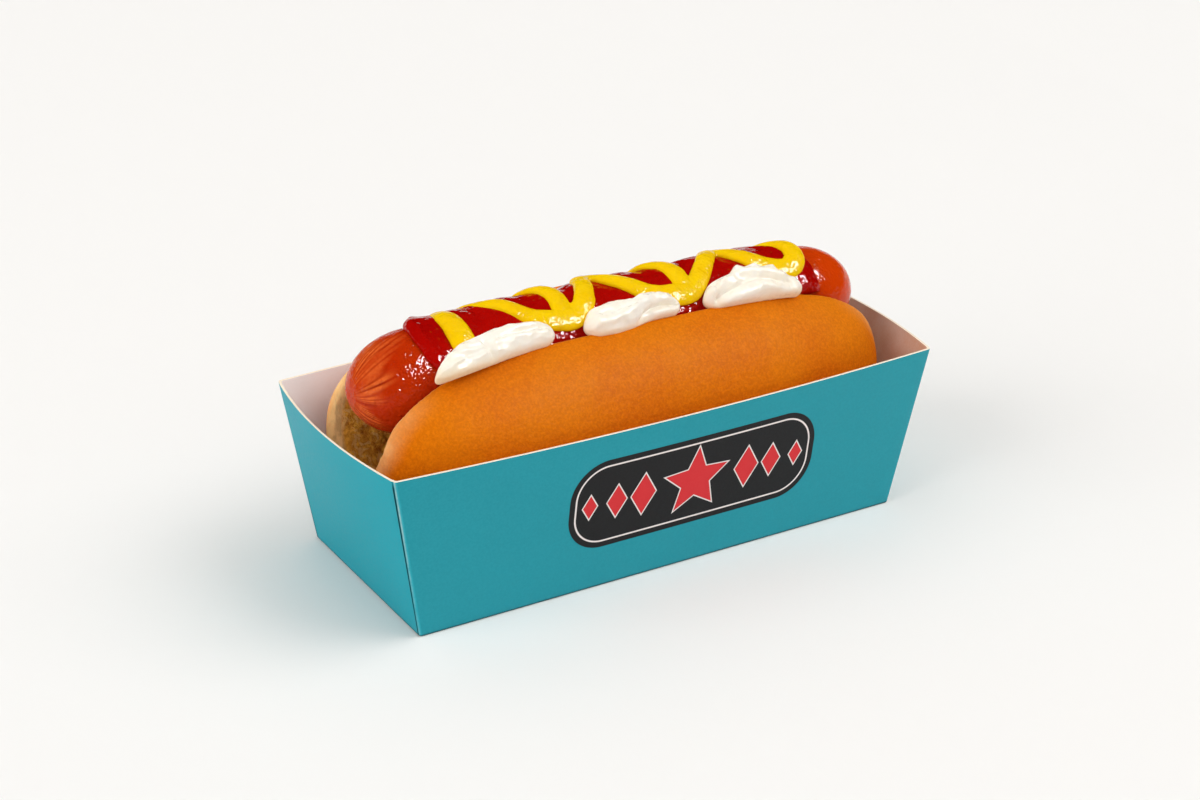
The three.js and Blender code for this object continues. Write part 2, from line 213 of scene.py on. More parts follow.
class HotDogSettings(bpy.types.PropertyGroup):
    """Everything that the operators read."""

    tray: PointerProperty(type=TraySettings)
    bun: PointerProperty(type=BunSettings)
    sausage: PointerProperty(type=SausageSettings)
    sauces: PointerProperty(type=SauceSettings)
    stage: PointerProperty(type=StageSettings)


# ---------- Formulas as nodes ----------


class Field:
    """A number inside a node tree that varies over a shape. Arithmetic on it adds Math nodes."""

    def __init__(self, tree, socket):
        self.tree = tree
        self.socket = socket

    def math(self, operation, *others):
        return maths(self.tree, operation, self, *others)

    def __neg__(self):
        return self * -1

    def clamp(self):
        return self.most(0).least(1)

    def step(self, low, high):
        """A smooth step from 0 at low to 1 at high, which may be the smaller of the two."""
        t = ((self - low) / (high - low)).clamp()
        return t * t * (3 - 2 * t)

    def spread(self, least, more):
        """From least where the field is 0, to more above that where it is 1."""
        return least + self * more

    def bell(self, width):
        """A bell of that width round zero, 1 high."""
        return (-((self / width) * (self / width))).math("EXPONENT")


def field_method(operation, turned=False):
    """A method that adds one Math node, with the field as its first value, or turned, its last."""
    def method(self, *others):
        return maths(self.tree, operation, *((*others, self) if turned else (self, *others)))
    return method


for sign, kind in (("add", "ADD"), ("sub", "SUBTRACT"), ("mul", "MULTIPLY"),
                   ("truediv", "DIVIDE"), ("pow", "POWER")):
    setattr(Field, f"__{sign}__", field_method(kind))
    setattr(Field, f"__r{sign}__", field_method(kind, turned=True))
for word, kind in (("__abs__", "ABSOLUTE"), ("sin", "SINE"), ("cos", "COSINE"), ("root", "SQRT"),
                   ("least", "MINIMUM"), ("most", "MAXIMUM"), ("above", "GREATER_THAN")):
    setattr(Field, word, field_method(kind))


def maths(tree, operation, *values):
    """Adds a Math node."""
    node = add_node(tree, "ShaderNodeMath", dict(enumerate(values)), operation=operation)
    return Field(tree, node.outputs[0])


def plug(tree, value, socket):
    """Links a field or a socket to an input, or sets the input's value."""
    if isinstance(value, Field):
        tree.links.new(value.socket, socket)
    elif isinstance(value, bpy.types.NodeSocket):
        tree.links.new(value, socket)
    else:
        socket.default_value = value


def add_node(tree, kind, inputs=None, **settings):
    """Adds a node, sets its properties, and plugs its inputs by name or number."""
    node = tree.nodes.new(kind)
    for name, value in settings.items():
        setattr(node, name, value)
    for name, value in (inputs or {}).items():
        plug(tree, value, node.inputs[name])
    return node


def split_vector(tree, vector):
    """The three parts of a vector."""
    node = add_node(tree, "ShaderNodeSeparateXYZ", {"Vector": vector})
    return [Field(tree, node.outputs[axis]) for axis in "XYZ"]


def join_vector(tree, x, y, z):
    """A vector from its three parts."""
    return add_node(tree, "ShaderNodeCombineXYZ", {"X": x, "Y": y, "Z": z}).outputs["Vector"]


def noise_field(tree, vector, scale, detail=2.0, roughness=0.5, distortion=0.0):
    """Smooth noise about 0.5."""
    node = add_node(tree, "ShaderNodeTexNoise", {
        "Vector": vector, "Scale": scale, "Detail": detail,
        "Roughness": roughness, "Distortion": distortion,
    })
    return Field(tree, node.outputs[0])


def cell_field(tree, vector, scale):
    """Distance to the nearest of many scattered points, about 0 to 1."""
    node = add_node(tree, "ShaderNodeTexVoronoi", {"Vector": vector, "Scale": scale})
    return Field(tree, node.outputs["Distance"])


def new_group(kind, name, inputs, outputs):
    """A node group with named sockets, and its input and output nodes."""
    tree = bpy.data.node_groups.new(name, kind)
    for direction, sockets in (("INPUT", inputs), ("OUTPUT", outputs)):
        for label, socket_type in sockets:
            tree.interface.new_socket(name=label, in_out=direction, socket_type=socket_type)
    return tree, tree.nodes.new("NodeGroupInput"), tree.nodes.new("NodeGroupOutput")


def named(kind, *labels):
    """Sockets of one kind with those labels."""
    return [(label, f"NodeSocket{kind}") for label in labels]


class ShapeTree:
    """A geometry node tree under construction: its inputs as fields, and the position."""

    def __init__(self, name, floats, whole=(), takes_mesh=False):
        inputs = (named("Geometry", "Geometry") if takes_mesh else []) + named("Float", *floats)
        self.tree, self.source, self.result = new_group(
            "GeometryNodeTree", name,
            inputs + named("Int", *whole) + named("Material", "Material"),
            named("Geometry", "Geometry"))
        self.inputs = {label: Field(self.tree, self.source.outputs[label]) for label in floats}
        self.place = self.tree.nodes.new("GeometryNodeInputPosition").outputs[0]

    def node(self, kind, inputs=None, **settings):
        return add_node(self.tree, "GeometryNode" + kind, inputs, **settings)

    def store(self, shape, **fields):
        """Keeps fields on a shape's points as named attributes, for its material."""
        for name, value in fields.items():
            shape = self.node("StoreNamedAttribute",
                              {"Geometry": shape, "Name": name, "Value": value},
                              data_type="FLOAT", domain="POINT").outputs["Geometry"]
        return shape

    def finish(self, shape):
        """Makes instances real, sets the material and gives the tree."""
        real = self.node("RealizeInstances", {"Geometry": shape}).outputs[0]
        painted = self.node("SetMaterial",
                            {"Geometry": real, "Material": self.source.outputs["Material"]})
        plug(self.tree, painted.outputs[0], self.result.inputs["Geometry"])
        return self.tree


# ---------- Meshes ----------


def mesh_object(name, points, faces, edges=()):
    """A new object with that mesh, in the scene."""
    mesh = bpy.data.meshes.new(name)
    mesh.from_pydata([tuple(p) for p in points], list(edges), faces)
    mesh.validate()
    made = bpy.data.objects.new(name, mesh)
    bpy.context.scene.collection.objects.link(made)
    return made


def bake(made):
    """Turns an object and its modifiers into a plain mesh, and takes the modifiers off."""
    graph = bpy.context.evaluated_depsgraph_get()
    mesh = bpy.data.meshes.new_from_object(made.evaluated_get(graph))
    made.modifiers.clear()
    old, made.data = made.data, mesh
    bpy.data.meshes.remove(old)
    mesh.name = made.name
    return made


def grow(made, tree, values):
    """Runs a geometry node tree on an object, with inputs given by name, and bakes the result."""
    modifier = made.modifiers.new(tree.name, "NODES")
    modifier.node_group = tree
    for item in tree.interface.items_tree:
        if item.in_out == "INPUT" and item.name in values:
            modifier[item.identifier] = values[item.name]
    return bake(made)


def modify(made, kind, **settings):
    """Adds a modifier with those settings."""
    modifier = made.modifiers.new(kind.title(), kind)
    for name, value in settings.items():
        setattr(modifier, name, value)


def face_out(made):
    """Turns a closed mesh's faces outwards."""
    shell = bmesh.new()
    shell.from_mesh(made.data)
    bmesh.ops.recalc_face_normals(shell, faces=shell.faces)
    if shell.calc_volume(signed=True) < 0:
        bmesh.ops.reverse_faces(shell, faces=shell.faces)
    shell.to_mesh(made.data)
    shell.free()


def keep_largest(made):
    """Drops every loose scrap but the largest body, and mends what a cut or a remesh leaves behind.

    Doubled points are merged. Points in the middle of a straight edge and faces without area are
    dissolved, because triangulating them makes loose flaps.
    """
    shell = bmesh.new()
    shell.from_mesh(made.data)
    bmesh.ops.remove_doubles(shell, verts=shell.verts, dist=SLIVER)
    needless = [v for v in shell.verts if len(v.link_edges) == 2]
    bmesh.ops.dissolve_verts(shell, verts=needless)
    bmesh.ops.dissolve_degenerate(shell, edges=shell.edges, dist=SLIVER)
    bmesh.ops.triangulate(shell, faces=[f for f in shell.faces if len(f.verts) > 4])
    left, bodies = set(shell.verts), []
    while left:
        body, front = set(), [left.pop()]
        while front:
            vertex = front.pop()
            body.add(vertex)
            for edge in vertex.link_edges:
                other = edge.other_vert(vertex)
                if other in left:
                    left.remove(other)
                    front.append(other)
        bodies.append(body)
    largest = max(bodies, key=len)
    scraps = [v for body in bodies if body is not largest for v in body]
    bmesh.ops.delete(shell, geom=scraps, context="VERTS")
    shell.to_mesh(made.data)
    shell.free()


def carve(made, *others):
    """Cuts other closed meshes out of a closed one, and keeps its largest body."""
    face_out(made)
    for other in others:
        modify(made, "BOOLEAN", operation="DIFFERENCE", object=other, solver="MANIFOLD")
    bake(made)
    keep_largest(made)


def finish_piece(made, material, replaced, sharp=None):
    """Gives a finished piece its material and its place in the frame."""
    face_out(made)
    if not made.data.polygons:
        raise RuntimeError(f"{made.name} came out empty")
    if material is not None:
        made.data.materials.clear()
        made.data.materials.append(material)
    made.data.shade_smooth()
    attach(made, BODY)
    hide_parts(replaced)
    if sharp is not None:
        made.data.set_sharp_from_angle(angle=sharp)


def read_settings(settings, *labels):
    """Inputs of a tree by their labels, each from the setting of the same name."""
    return {label: float(getattr(settings, label.lower().replace(" ", "_"))) for label in labels}


# ---------- Finishes ----------

# A Mix node's sockets for two colours, and for the colour that comes out.
MIX_FIRST, MIX_SECOND, MIX_RESULT = 6, 7, 2
# Noises inside the shared groups, and where each becomes a mask.
PATCH_NOISE = {"detail": 3.0, "roughness": 0.55}
PATCH_STEP = (0.32, 0.68)
SPECKLE_NOISE = {"detail": 3.0, "roughness": 0.6}
SPECKLE_STEP = (0.3, 0.7)
FILM = SimpleNamespace(
    cell_scale=0.7, bubble_step=(0.05, 0.5), bubble_height=0.3, broken_step=(0.42, 0.62))

# The wet foods: gloss, the way that light spreads under the surface in mm, and how much the patches
# and the speckle mix in the second colour. The film is its ripples' and bubbles' scales and the
# bubbles' height. A gain makes the film's relief stronger or weaker from one place to another along
# an axis, and thin is painted shade and painted warm bounce light low on the food, in the second
# colour.
WET_FOODS = {
    "cooked skin": SimpleNamespace(
        specular=0.11, subsurface=0.04, radius=(3, 0.8, 0.3),
        mottle=(55.0, 900.0), shares=(0.45, 0.14), film=(420.0, 1350.0, 0.5),
        roughness=(0.06, 0.05), relief=0.45 * MM,
        gain=("x", 54 * MM, 66 * MM, -0.6)),
    "ketchup": SimpleNamespace(
        specular=0.12, subsurface=0.03, radius=(2.5, 0.4, 0.3),
        mottle=(90.0, 1400.0), shares=(0.45, 0.1), film=(360.0, 900.0, 0.4),
        roughness=(0.05, 0.05), relief=0.5 * MM,
        gain=("z", 68.5 * MM, 65 * MM, 1.2)),
    "mustard": SimpleNamespace(
        specular=0.08, subsurface=0.05, radius=(2, 1.5, 0.3),
        mottle=(140.0, 1600.0), shares=(0.4, 0.12), film=(360.0, 1100.0, 0.35),
        roughness=(0.12, 0.1), relief=0.5 * MM),
    "mayonnaise": SimpleNamespace(
        specular=0.07, subsurface=0.12, radius=(3, 2.4, 1.4),
        mottle=(120.0, 1300.0), shares=(0.12, 0.05), film=(300.0, 900.0, 0.25),
        roughness=(0.2, 0.2), relief=0.2 * MM,
        # Painted shade and painted warm bounce light low on the dollops.
        thin=(68 * MM, 63.5 * MM, 0.6)),
}


def tint(colour, factor, added=0):
    """A colour times one factor, or one for each channel, with a little added."""
    factors = factor if isinstance(factor, tuple) else (factor,) * 3
    return tuple(min(c * f + added, 1) for c, f in zip(colour, factors))


class Finish:
    """A material under construction: its tree, its shader and the piece's own coordinates."""

    def __init__(self, name, settings):
        self.material = bpy.data.materials.new(name)
        self.material.use_nodes = True
        self.tree = self.material.node_tree
        self.shader = self.tree.nodes["Principled BSDF"]
        for label, value in settings.items():
            self.shader.inputs[label].default_value = value
        self.place = self.tree.nodes.new("ShaderNodeTexCoord").outputs["Object"]
        self.x, self.y, self.z = split_vector(self.tree, self.place)

    def noise(self, scale, detail=2.0, roughness=0.5, distortion=0.0, vector=None):
        return noise_field(self.tree, vector or self.place, scale, detail, roughness, distortion)

    def attribute(self, name):
        node = add_node(self.tree, "ShaderNodeAttribute", attribute_name=name)
        return Field(self.tree, node.outputs["Fac"])

    def mix(self, factor, first, second):
        node = add_node(self.tree, "ShaderNodeMix", {"Factor": factor}, data_type="RGBA")
        for number, value in ((MIX_FIRST, first), (MIX_SECOND, second)):
            if not isinstance(value, bpy.types.NodeSocket):
                value = (*value, 1)
            plug(self.tree, value, node.inputs[number])
        return node.outputs[MIX_RESULT]

    def group(self, name, build, **inputs):
        """Places a shared group, which is built the first time, and gives its outputs."""
        shared = bpy.data.node_groups.get(name) or build(name)
        node = add_node(self.tree, "ShaderNodeGroup", node_tree=shared)
        plug(self.tree, self.place, node.inputs["Place"])
        for label, value in inputs.items():
            plug(self.tree, value, node.inputs[label.replace("_", " ").title()])
        return [Field(self.tree, socket) for socket in node.outputs]

    def mottle(self, patch_scale, speckle_scale):
        return self.group("Mottle", mottle_group, patch_scale=patch_scale,
                          speckle_scale=speckle_scale)

    def film(self, ripple_scale, bubble_scale, bubbles):
        return self.group("Wet Film", wet_group, ripple_scale=ripple_scale,
                          bubble_scale=bubble_scale, bubbles=bubbles)

    def colour(self, socket):
        plug(self.tree, socket, self.shader.inputs["Base Color"])

    def roughness(self, field):
        plug(self.tree, field, self.shader.inputs["Roughness"])

    def relief(self, height, distance, strength=1.0):
        bump = add_node(self.tree, "ShaderNodeBump",
                        {"Height": height, "Distance": distance, "Strength": strength})
        plug(self.tree, bump.outputs["Normal"], self.shader.inputs["Normal"])


def mottle_group(name):
    """Soft patches over a finer speckle, each between 0 and 1."""
    tree, source, result = new_group(
        "ShaderNodeTree", name,
        named("Vector", "Place") + named("Float", "Patch Scale", "Speckle Scale"),
        named("Float", "Patches", "Speckle"))
    for label, scale, settings, limits in (
            ("Patches", "Patch Scale", PATCH_NOISE, PATCH_STEP),
            ("Speckle", "Speckle Scale", SPECKLE_NOISE, SPECKLE_STEP)):
        field = noise_field(tree, source.outputs["Place"], source.outputs[scale], **settings)
        plug(tree, field.step(*limits), result.inputs[label])
    return tree


def wet_group(name):
    """A wet film: slow ripples and small bubbles as one height, and where the film is broken."""
    tree, source, result = new_group(
        "ShaderNodeTree", name,
        named("Vector", "Place") + named("Float", "Ripple Scale", "Bubble Scale", "Bubbles"),
        named("Float", "Height", "Broken"))
    place = source.outputs["Place"]
    bubble_scale = Field(tree, source.outputs["Bubble Scale"])
    ripples = noise_field(tree, place, source.outputs["Ripple Scale"], 0.0)
    grit = noise_field(tree, place, bubble_scale, 0.0)
    cells = cell_field(tree, place, bubble_scale * FILM.cell_scale)
    bubbles = 1 - cells.step(*FILM.bubble_step)
    rough = (grit + bubbles * FILM.bubble_height) * Field(tree, source.outputs["Bubbles"])
    plug(tree, ripples + rough, result.inputs["Height"])
    plug(tree, grit.step(*FILM.broken_step), result.inputs["Broken"])
    return tree


def food_finish(name, look):
    """A food's finish with its gloss and the light under its surface, its patches and speckle."""
    finish = Finish(name, {
        "Specular IOR Level": look.specular, "Subsurface Weight": look.subsurface,
        "Subsurface Radius": tuple(r * MM for r in look.radius),
    })
    return finish, *finish.mottle(*look.mottle)


def wet_food(name, first, second):
    """A wet food's whole finish, and its base colour for a caller that paints over it."""
    look = WET_FOODS[name]
    finish, patches, speckle = food_finish(name, look)
    height, broken = finish.film(*look.film)
    patch_share, speckle_share = look.shares
    share = patches * patch_share + speckle * speckle_share
    # Painted shade and painted bounce light low on the food, where a look has it.
    if hasattr(look, "thin"):
        begin, end, most = look.thin
        share = share + finish.z.step(begin, end) * most
    base = finish.mix(share.clamp(), first, second)
    finish.colour(base)
    smooth, rough = look.roughness
    finish.roughness(smooth + broken * rough)
    if hasattr(look, "gain"):
        axis, begin, end, gain = look.gain
        height = height * (1 + getattr(finish, axis).step(begin, end) * gain)
    finish.relief(height, look.relief)
    return finish, base, speckle


# ---------- Tray ----------

TRAY = SimpleNamespace(
    bow_power=1.15, levels=26, side_steps=60, end_steps=30,
    fold=0.7 * MM, fold_steps=5, crease=0.35 * MM, crease_share=0.3,
    bevel=0.08 * MM,
    seam_width=0.3 * MM, seam_depth=0.42 * MM, seam_edge=0.1, seam_rim=2.2 * MM,
)
OUTSIDE, INSIDE, CUT_EDGE = range(3)

# The badge: a dark rounded plaque with a thin inner line, a star in the middle and a row of
# shrinking diamonds on each side.
BADGE = SimpleNamespace(
    x=5.5 * MM, z=26 * MM,
    half=(38.5 * MM, 13.4 * MM), corner=11 * MM,
    inner_line=1.9 * MM, line=0.34 * MM, inner_share=0.7, blur=0.08 * MM,
    points=5, star=10.2 * MM, star_waist=0.45,
    diamond_first=16.2 * MM, diamond_pitch=8.1 * MM, last_diamond=2,
    diamond_half=(3.7 * MM, 6.2 * MM), diamond_shrink=0.22,
)

# The print, worn along the corner folds, with painted shade in the corner seams and a painted
# contact shadow at the foot.
PRINT = SimpleNamespace(
    specular=0.18, mottle=(30.0, 1500.0), patch_share=0.25, patch_tint=0.9,
    speckle_share=0.18, worn=(1.35, 0.02), rub=(260.0, 3.0, 0.6),
    rub_step=(0.3, 0.62),
    corner_end=(0.95 * MM, 0.25 * MM), corner_side=(0.8 * MM, 0.05 * MM),
    corner_share=(0.35, 0.5),
    fold_place=0.45, fold_width=0.16 * MM, fold_end=(0.9 * MM, 0.3 * MM),
    fold_share=(0.3, 0.7), fold_fade=(4 * MM, 40 * MM), fold_faded=0.7,
    fold_wear=0.4,
    seam_width=0.28 * MM, seam_end=(1.1 * MM, 0.7 * MM), seam_rim=(0.6 * MM, 2.4 * MM),
    seam_share=1.1, foot=(0.8 * MM, 0.3 * MM), foot_share=0.8, dark=0.12,
    roughness=(0.46, 0.1), grain=(900.0, 4.0, 0.6), grain_relief=(0.03 * MM, 0.35),
)
BOARD = SimpleNamespace(
    roughness=0.75, mottle=(45.0, 1700.0), patch_share=0.3,
    # Towards the right end the inside gets painted shade and painted orange bounce light from the
    # bun.
    patch_tint=(0.95, 0.93, 0.9), bun_bounce_shade_span=(58 * MM, 80 * MM), bun_bounce_shade_share=(0.62, 0.25),
    speckle_share=0.12, speckle_tint=0.85,
    grain=(1400.0, 4.0, 0.65), grain_relief=(0.03 * MM, 0.4),
)
RAW_EDGE = SimpleNamespace(
    roughness=0.8, fibres=(2200.0, 3.0, 0.6), fibre_step=(0.3, 0.7), fibre_share=0.3,
    fibre_tint=0.86,
)


def wall_half(sizes, height, inset=0):
    """Half the wall's length and width at a height, which may be a field."""
    rise = height / sizes.height
    half_length = (sizes.base_length + (sizes.rim_length - sizes.base_length) * rise) / 2 - inset
    half_width = (sizes.base_width + (sizes.rim_width - sizes.base_width) * rise) / 2 - inset
    return half_length, half_width


def fold_offsets(seam_depth):
    """Offsets round one corner, (along the long wall, along the end wall), from its long wall."""
    fold, width, edge = TRAY.fold, TRAY.seam_width, TRAY.seam_edge
    arc = [(fold * (1 - math.sin(a)), fold * (1 - math.cos(a)))
           for a in np.linspace(0, math.pi / 2, TRAY.fold_steps)]
    seam = [(seam_depth, fold + edge * width), (seam_depth, fold + (1 - edge) * width),
            (0, fold + width)]
    return arc + seam


def tray_ring(sizes, height, inset, seam):
    """One ring of the wall at a height, pulled in by an inset, with its four folded corners."""
    half_length, half_width = wall_half(sizes, height, inset)
    swell = (height / sizes.height) ** TRAY.bow_power
    corner = fold_offsets(seam)
    side_end = 1 - corner[0][0] / half_length
    end_end = 1 - corner[-1][1] / half_width
    side = [(s * half_length, -half_width - sizes.side_bow * swell * (1 - s * s))
            for s in np.linspace(-side_end, side_end, TRAY.side_steps)]
    end = [(half_length + sizes.end_bow * swell * (1 - s * s), s * half_width)
           for s in np.linspace(-end_end, end_end, TRAY.end_steps)]
    turn = [(half_length - p, q - half_width) for p, q in corner[1:-1]]
    half = side + turn + end + [(x, -y) for x, y in reversed(turn)]
    return [(x, y, height) for x, y in half] + [(-x, -y, height) for x, y in half]


def tray_mesh(sizes):
    """The folded board as one closed shell, whose faces carry the number of their material."""
    heights = np.linspace(0, sizes.height, TRAY.levels)[1:-1]
    crease, bevel, board, top = TRAY.crease, TRAY.bevel, sizes.board, sizes.height

    def seam_at(z):
        return TRAY.seam_depth * min(max((top - z) / TRAY.seam_rim, 0), 1)

    low = crease * TRAY.crease_share
    outside = [(0, crease, 0), (low, low, seam_at(0)), (crease, 0, seam_at(0))]
    outside += [(z, 0, seam_at(z)) for z in heights] + [(top - bevel, 0, 0)]
    inside = [(top, bevel, 0), (top, board - bevel, 0), (top - bevel, board, 0)]
    inside += [(z, board, 0) for z in reversed(heights)] + [(board, board, 0)]
    rings = [tray_ring(sizes, *ring) for ring in outside + inside]
    kinds_of_band = [OUTSIDE] * (len(outside) - 1) + [CUT_EDGE] * 3 + [INSIDE] * len(inside)
    count = len(rings[0])
    faces, kinds = [], []
    for r in range(len(rings) - 1):
        for i in range(count):
            j = (i + 1) % count
            faces.append((r * count + i, r * count + j, (r + 1) * count + j, (r + 1) * count + i))
            kinds.append(kinds_of_band[r])
    faces.append(tuple(reversed(range(count))))
    faces.append(tuple((len(rings) - 1) * count + i for i in range(count)))
    kinds += [OUTSIDE, INSIDE]
    made = mesh_object("folded_tray", [point for ring in rings for point in ring], faces)
    made.data.polygons.foreach_set("material_index", kinds)
    return made


def box_field(across, up, half_across, half_up, corner):
    """Distance outside a rounded rectangle, negative inside."""
    past_x = (abs(across) - (half_across - corner)).most(0)
    past_z = (abs(up) - (half_up - corner)).most(0)
    return (past_x * past_x + past_z * past_z).root() - corner


def star_field(across, up, radius, waist):
    """Distance outside a star, negative inside."""
    reach = (across * across + up * up).root()
    half_slice = math.pi / BADGE.points
    folded = abs(across.math("ARCTAN2", up).math("WRAP", half_slice, -half_slice))
    tip = Vector((radius, 0))
    notch = Vector((math.cos(half_slice), math.sin(half_slice))) * (waist * radius)
    normal = Vector((notch.y - tip.y, tip.x - notch.x)).normalized()
    return reach * (folded.cos() * normal.x + folded.sin() * normal.y) - radius * normal.x


def badge_masks(finish):
    """Where the badge's ground, lines and shapes are printed."""
    b = BADGE
    across, up = finish.x - b.x, finish.z - b.z
    plaque = box_field(across, up, *b.half, b.corner)
    star = star_field(across, up, b.star, b.star_waist)
    aside = abs(across) - b.diamond_first
    place = (aside / b.diamond_pitch).math("ROUND").most(0).least(b.last_diamond)
    size = 1 - place * b.diamond_shrink
    wide, tall = b.diamond_half
    diamond = abs(aside - place * b.diamond_pitch) / wide + abs(up) / tall
    shapes = star.least((diamond - size) * (wide * tall / math.hypot(wide, tall)))
    ring = abs(plaque + b.inner_line) - b.line * b.inner_share
    half_line, blur = b.line / 2, b.blur
    ground = 1 - plaque.step(-blur, blur)
    red = 1 - shapes.step(-blur, blur)
    outline = abs(shapes - half_line) - half_line
    line = ground * (1 - outline.least(ring).step(-blur, blur))
    return ground, line, red


def print_finish(sizes):
    """The printed outside."""
    look = PRINT
    finish = Finish("printed board", {"Specular IOR Level": look.specular})
    patches, speckle = finish.mottle(*look.mottle)
    worn = tint(sizes.print_colour, *look.worn)
    printed = finish.mix(patches * look.patch_share, sizes.print_colour,
                         tint(sizes.print_colour, look.patch_tint))
    printed = finish.mix(speckle * look.speckle_share, printed, worn)
    for mask, ink in zip(badge_masks(finish),
                         (sizes.badge_dark, sizes.badge_line, sizes.badge_red)):
        printed = finish.mix(mask, printed, ink)
    half_length, half_width = wall_half(sizes, finish.z)
    from_end = half_length - abs(finish.x)
    from_side = half_width - abs(finish.y)
    below_rim = sizes.height - finish.z
    rub = finish.noise(*look.rub).step(*look.rub_step)

    corner = from_end.step(*look.corner_end) * from_side.step(*look.corner_side)
    printed = finish.mix(corner * rub.spread(*look.corner_share), printed, worn)
    fold = (from_side - TRAY.fold * look.fold_place).bell(look.fold_width)
    fold = fold * from_end.step(*look.fold_end)
    faded = 1 - below_rim.step(*look.fold_fade) * look.fold_faded
    wear = (fold * rub.spread(*look.fold_share) * faded).clamp() * look.fold_wear
    printed = finish.mix(wear, printed, sizes.edge_colour)
    # Painted shade in the corner seams and a painted contact shadow along the foot.
    middle = TRAY.fold + TRAY.seam_width / 2
    seam = (from_side - middle).bell(look.seam_width) * from_end.step(*look.seam_end)
    seam = seam * below_rim.step(*look.seam_rim)
    foot = finish.z.step(*look.foot)
    shadow = (seam * look.seam_share + foot * look.foot_share).clamp()
    finish.colour(finish.mix(shadow, printed, tint(sizes.print_colour, look.dark)))

    smooth, rough = look.roughness
    finish.roughness(smooth + speckle * rough)
    finish.relief(finish.noise(*look.grain), *look.grain_relief)
    return finish.material


def board_finish(sizes):
    """The bare inside, with painted shade and painted orange bounce light from the bun at the right
    end.
    """
    look = BOARD
    finish = Finish("bare board", {"Roughness": look.roughness})
    patches, speckle = finish.mottle(*look.mottle)
    bare = finish.mix(patches * look.patch_share, sizes.board_colour,
                      tint(sizes.board_colour, look.patch_tint))
    # Painted shade and painted bounce light from the bun towards the right end.
    bun_bounce_shade_mask = finish.x.step(*look.bun_bounce_shade_span) * patches.spread(*look.bun_bounce_shade_share)
    bare = finish.mix(bun_bounce_shade_mask, bare, sizes.bun_bounce_shade_colour)
    finish.colour(finish.mix(speckle * look.speckle_share, bare,
                             tint(sizes.board_colour, look.speckle_tint)))
    finish.relief(finish.noise(*look.grain), *look.grain_relief)
    return finish.material


def edge_finish(sizes):
    """The raw cut edge of the board."""
    look = RAW_EDGE
    finish = Finish("cut board edge", {"Roughness": look.roughness})
    fibres = finish.noise(*look.fibres).step(*look.fibre_step)
    finish.colour(finish.mix(fibres * look.fibre_share, sizes.edge_colour,
                             tint(sizes.edge_colour, look.fibre_tint)))
    return finish.material


class HOTDOG_OT_tray(bpy.types.Operator):
    """Fold the paperboard tray"""

    bl_idname = "hotdog.make_tray"
    bl_label = "Tray"

    def execute(self, context):
        sizes = context.scene.hotdog.tray
        made = tray_mesh(sizes)
        for finish in (print_finish, board_finish, edge_finish):
            made.data.materials.append(finish(sizes))
        finish_piece(made, None, "tray", TRAY_ANGLE)
        return {"FINISHED"}


# ---------- Bun ----------

BUN_SIZES = ("Half Length", "Half Width", "Bottom", "Waist", "Top", "Hinge", "Slit", "Voxel")
BUN_SHAPE = {
    "Plumpness": 2.3, "Foot Squareness": 3.0, "End Squareness": 3.3,
    "Foot Taper": 0.13, "End Taper": 0.06,
    "Slit Rise": 28 * MM, "Slit Power": 0.75,
    "Lip Height": 63 * MM, "Flare": 0.34,
    "Lip Round": 3.2 * MM, "Uneven": 0.5 * MM, "Pore Depth": 2.3 * MM,
}
# The crust's bumps, the crumb's large and small holes and its torn roughness, how much of each goes
# into the depth, and where the masks for the finish begin and end, measured from the cut.
CRUMB = SimpleNamespace(
    large=230.0, large_step=(0.2, 0.44), small=460.0, small_step=(0.15, 0.45),
    torn=(130.0, 3.0, 0.6), depths=(0.75, 0.35, 0.8), inside=(2.5 * MM, 8 * MM),
    crust_share=0.35, rind=(-1.6 * MM, 0.4 * MM), crumb=(-0.3 * MM, 1.1 * MM),
    beside_cut=(-7 * MM, -1 * MM), small_share=0.45, bumps=(34.0, 2.0, 0.45),
)
# Light and dark are a share and a tint. The roughness and the reliefs say what each pattern adds.
BREAD = SimpleNamespace(
    specular=0.008, subsurface=0.04, radius=(2, 0.8, 0.3), mottle=(38.0, 620.0),
    peel=(1500.0, 2.0, 0.6), peel_step=(0.38, 0.64), peel_share=0.65,
    grain=(800.0, 3.0, 0.6), grain_step=(0.35, 0.65), grain_share=0.35,
    blush_share=0.4, darker_low=(62 * MM, 38 * MM), low_share=0.32,
    light=(0.34, 1.2), dark=(0.2, 0.6),
    rear=(2 * MM, 12 * MM), ends=(58 * MM, 74 * MM), below=(66 * MM, 46 * MM),
    front_share=0.6, underside=(24 * MM, 6 * MM), underside_share=0.6,
    streaks=(150.0, 4.0, 0.65), streak_step=(0.36, 0.62), streak_share=(0.6, 0.4),
    pulled=(620.0, 3.0, 0.65, 0.4), pulled_long=(1, 1, 0.22), pulled_step=(0.36, 0.64),
    rind_tints=(0.74, 1.1), rind=(0.1, 0.7), rind_share=(0.3, 0.7),
    # hollow_shares: how much painted shade the pores get and how much the darker veins mix in.
    veins=(640.0, 4.0, 0.7), vein_step=(0.36, 0.64), hollow_shares=(0.45, 0.85),
    fibres=(330.0, 4.0, 0.7, 1.2), fibre_step=(0.52, 0.6), fibre_share=0.8,
    fibre_tint=(1.0, 0.95, 0.72), crumb=(0.4, 0.75),
    roughness=(0.46, 0.35, 0.08), crust_relief=(0.8, 0.5, 0.7), crumb_relief=(1.8, 2.4),
    relief=0.18 * MM,
)


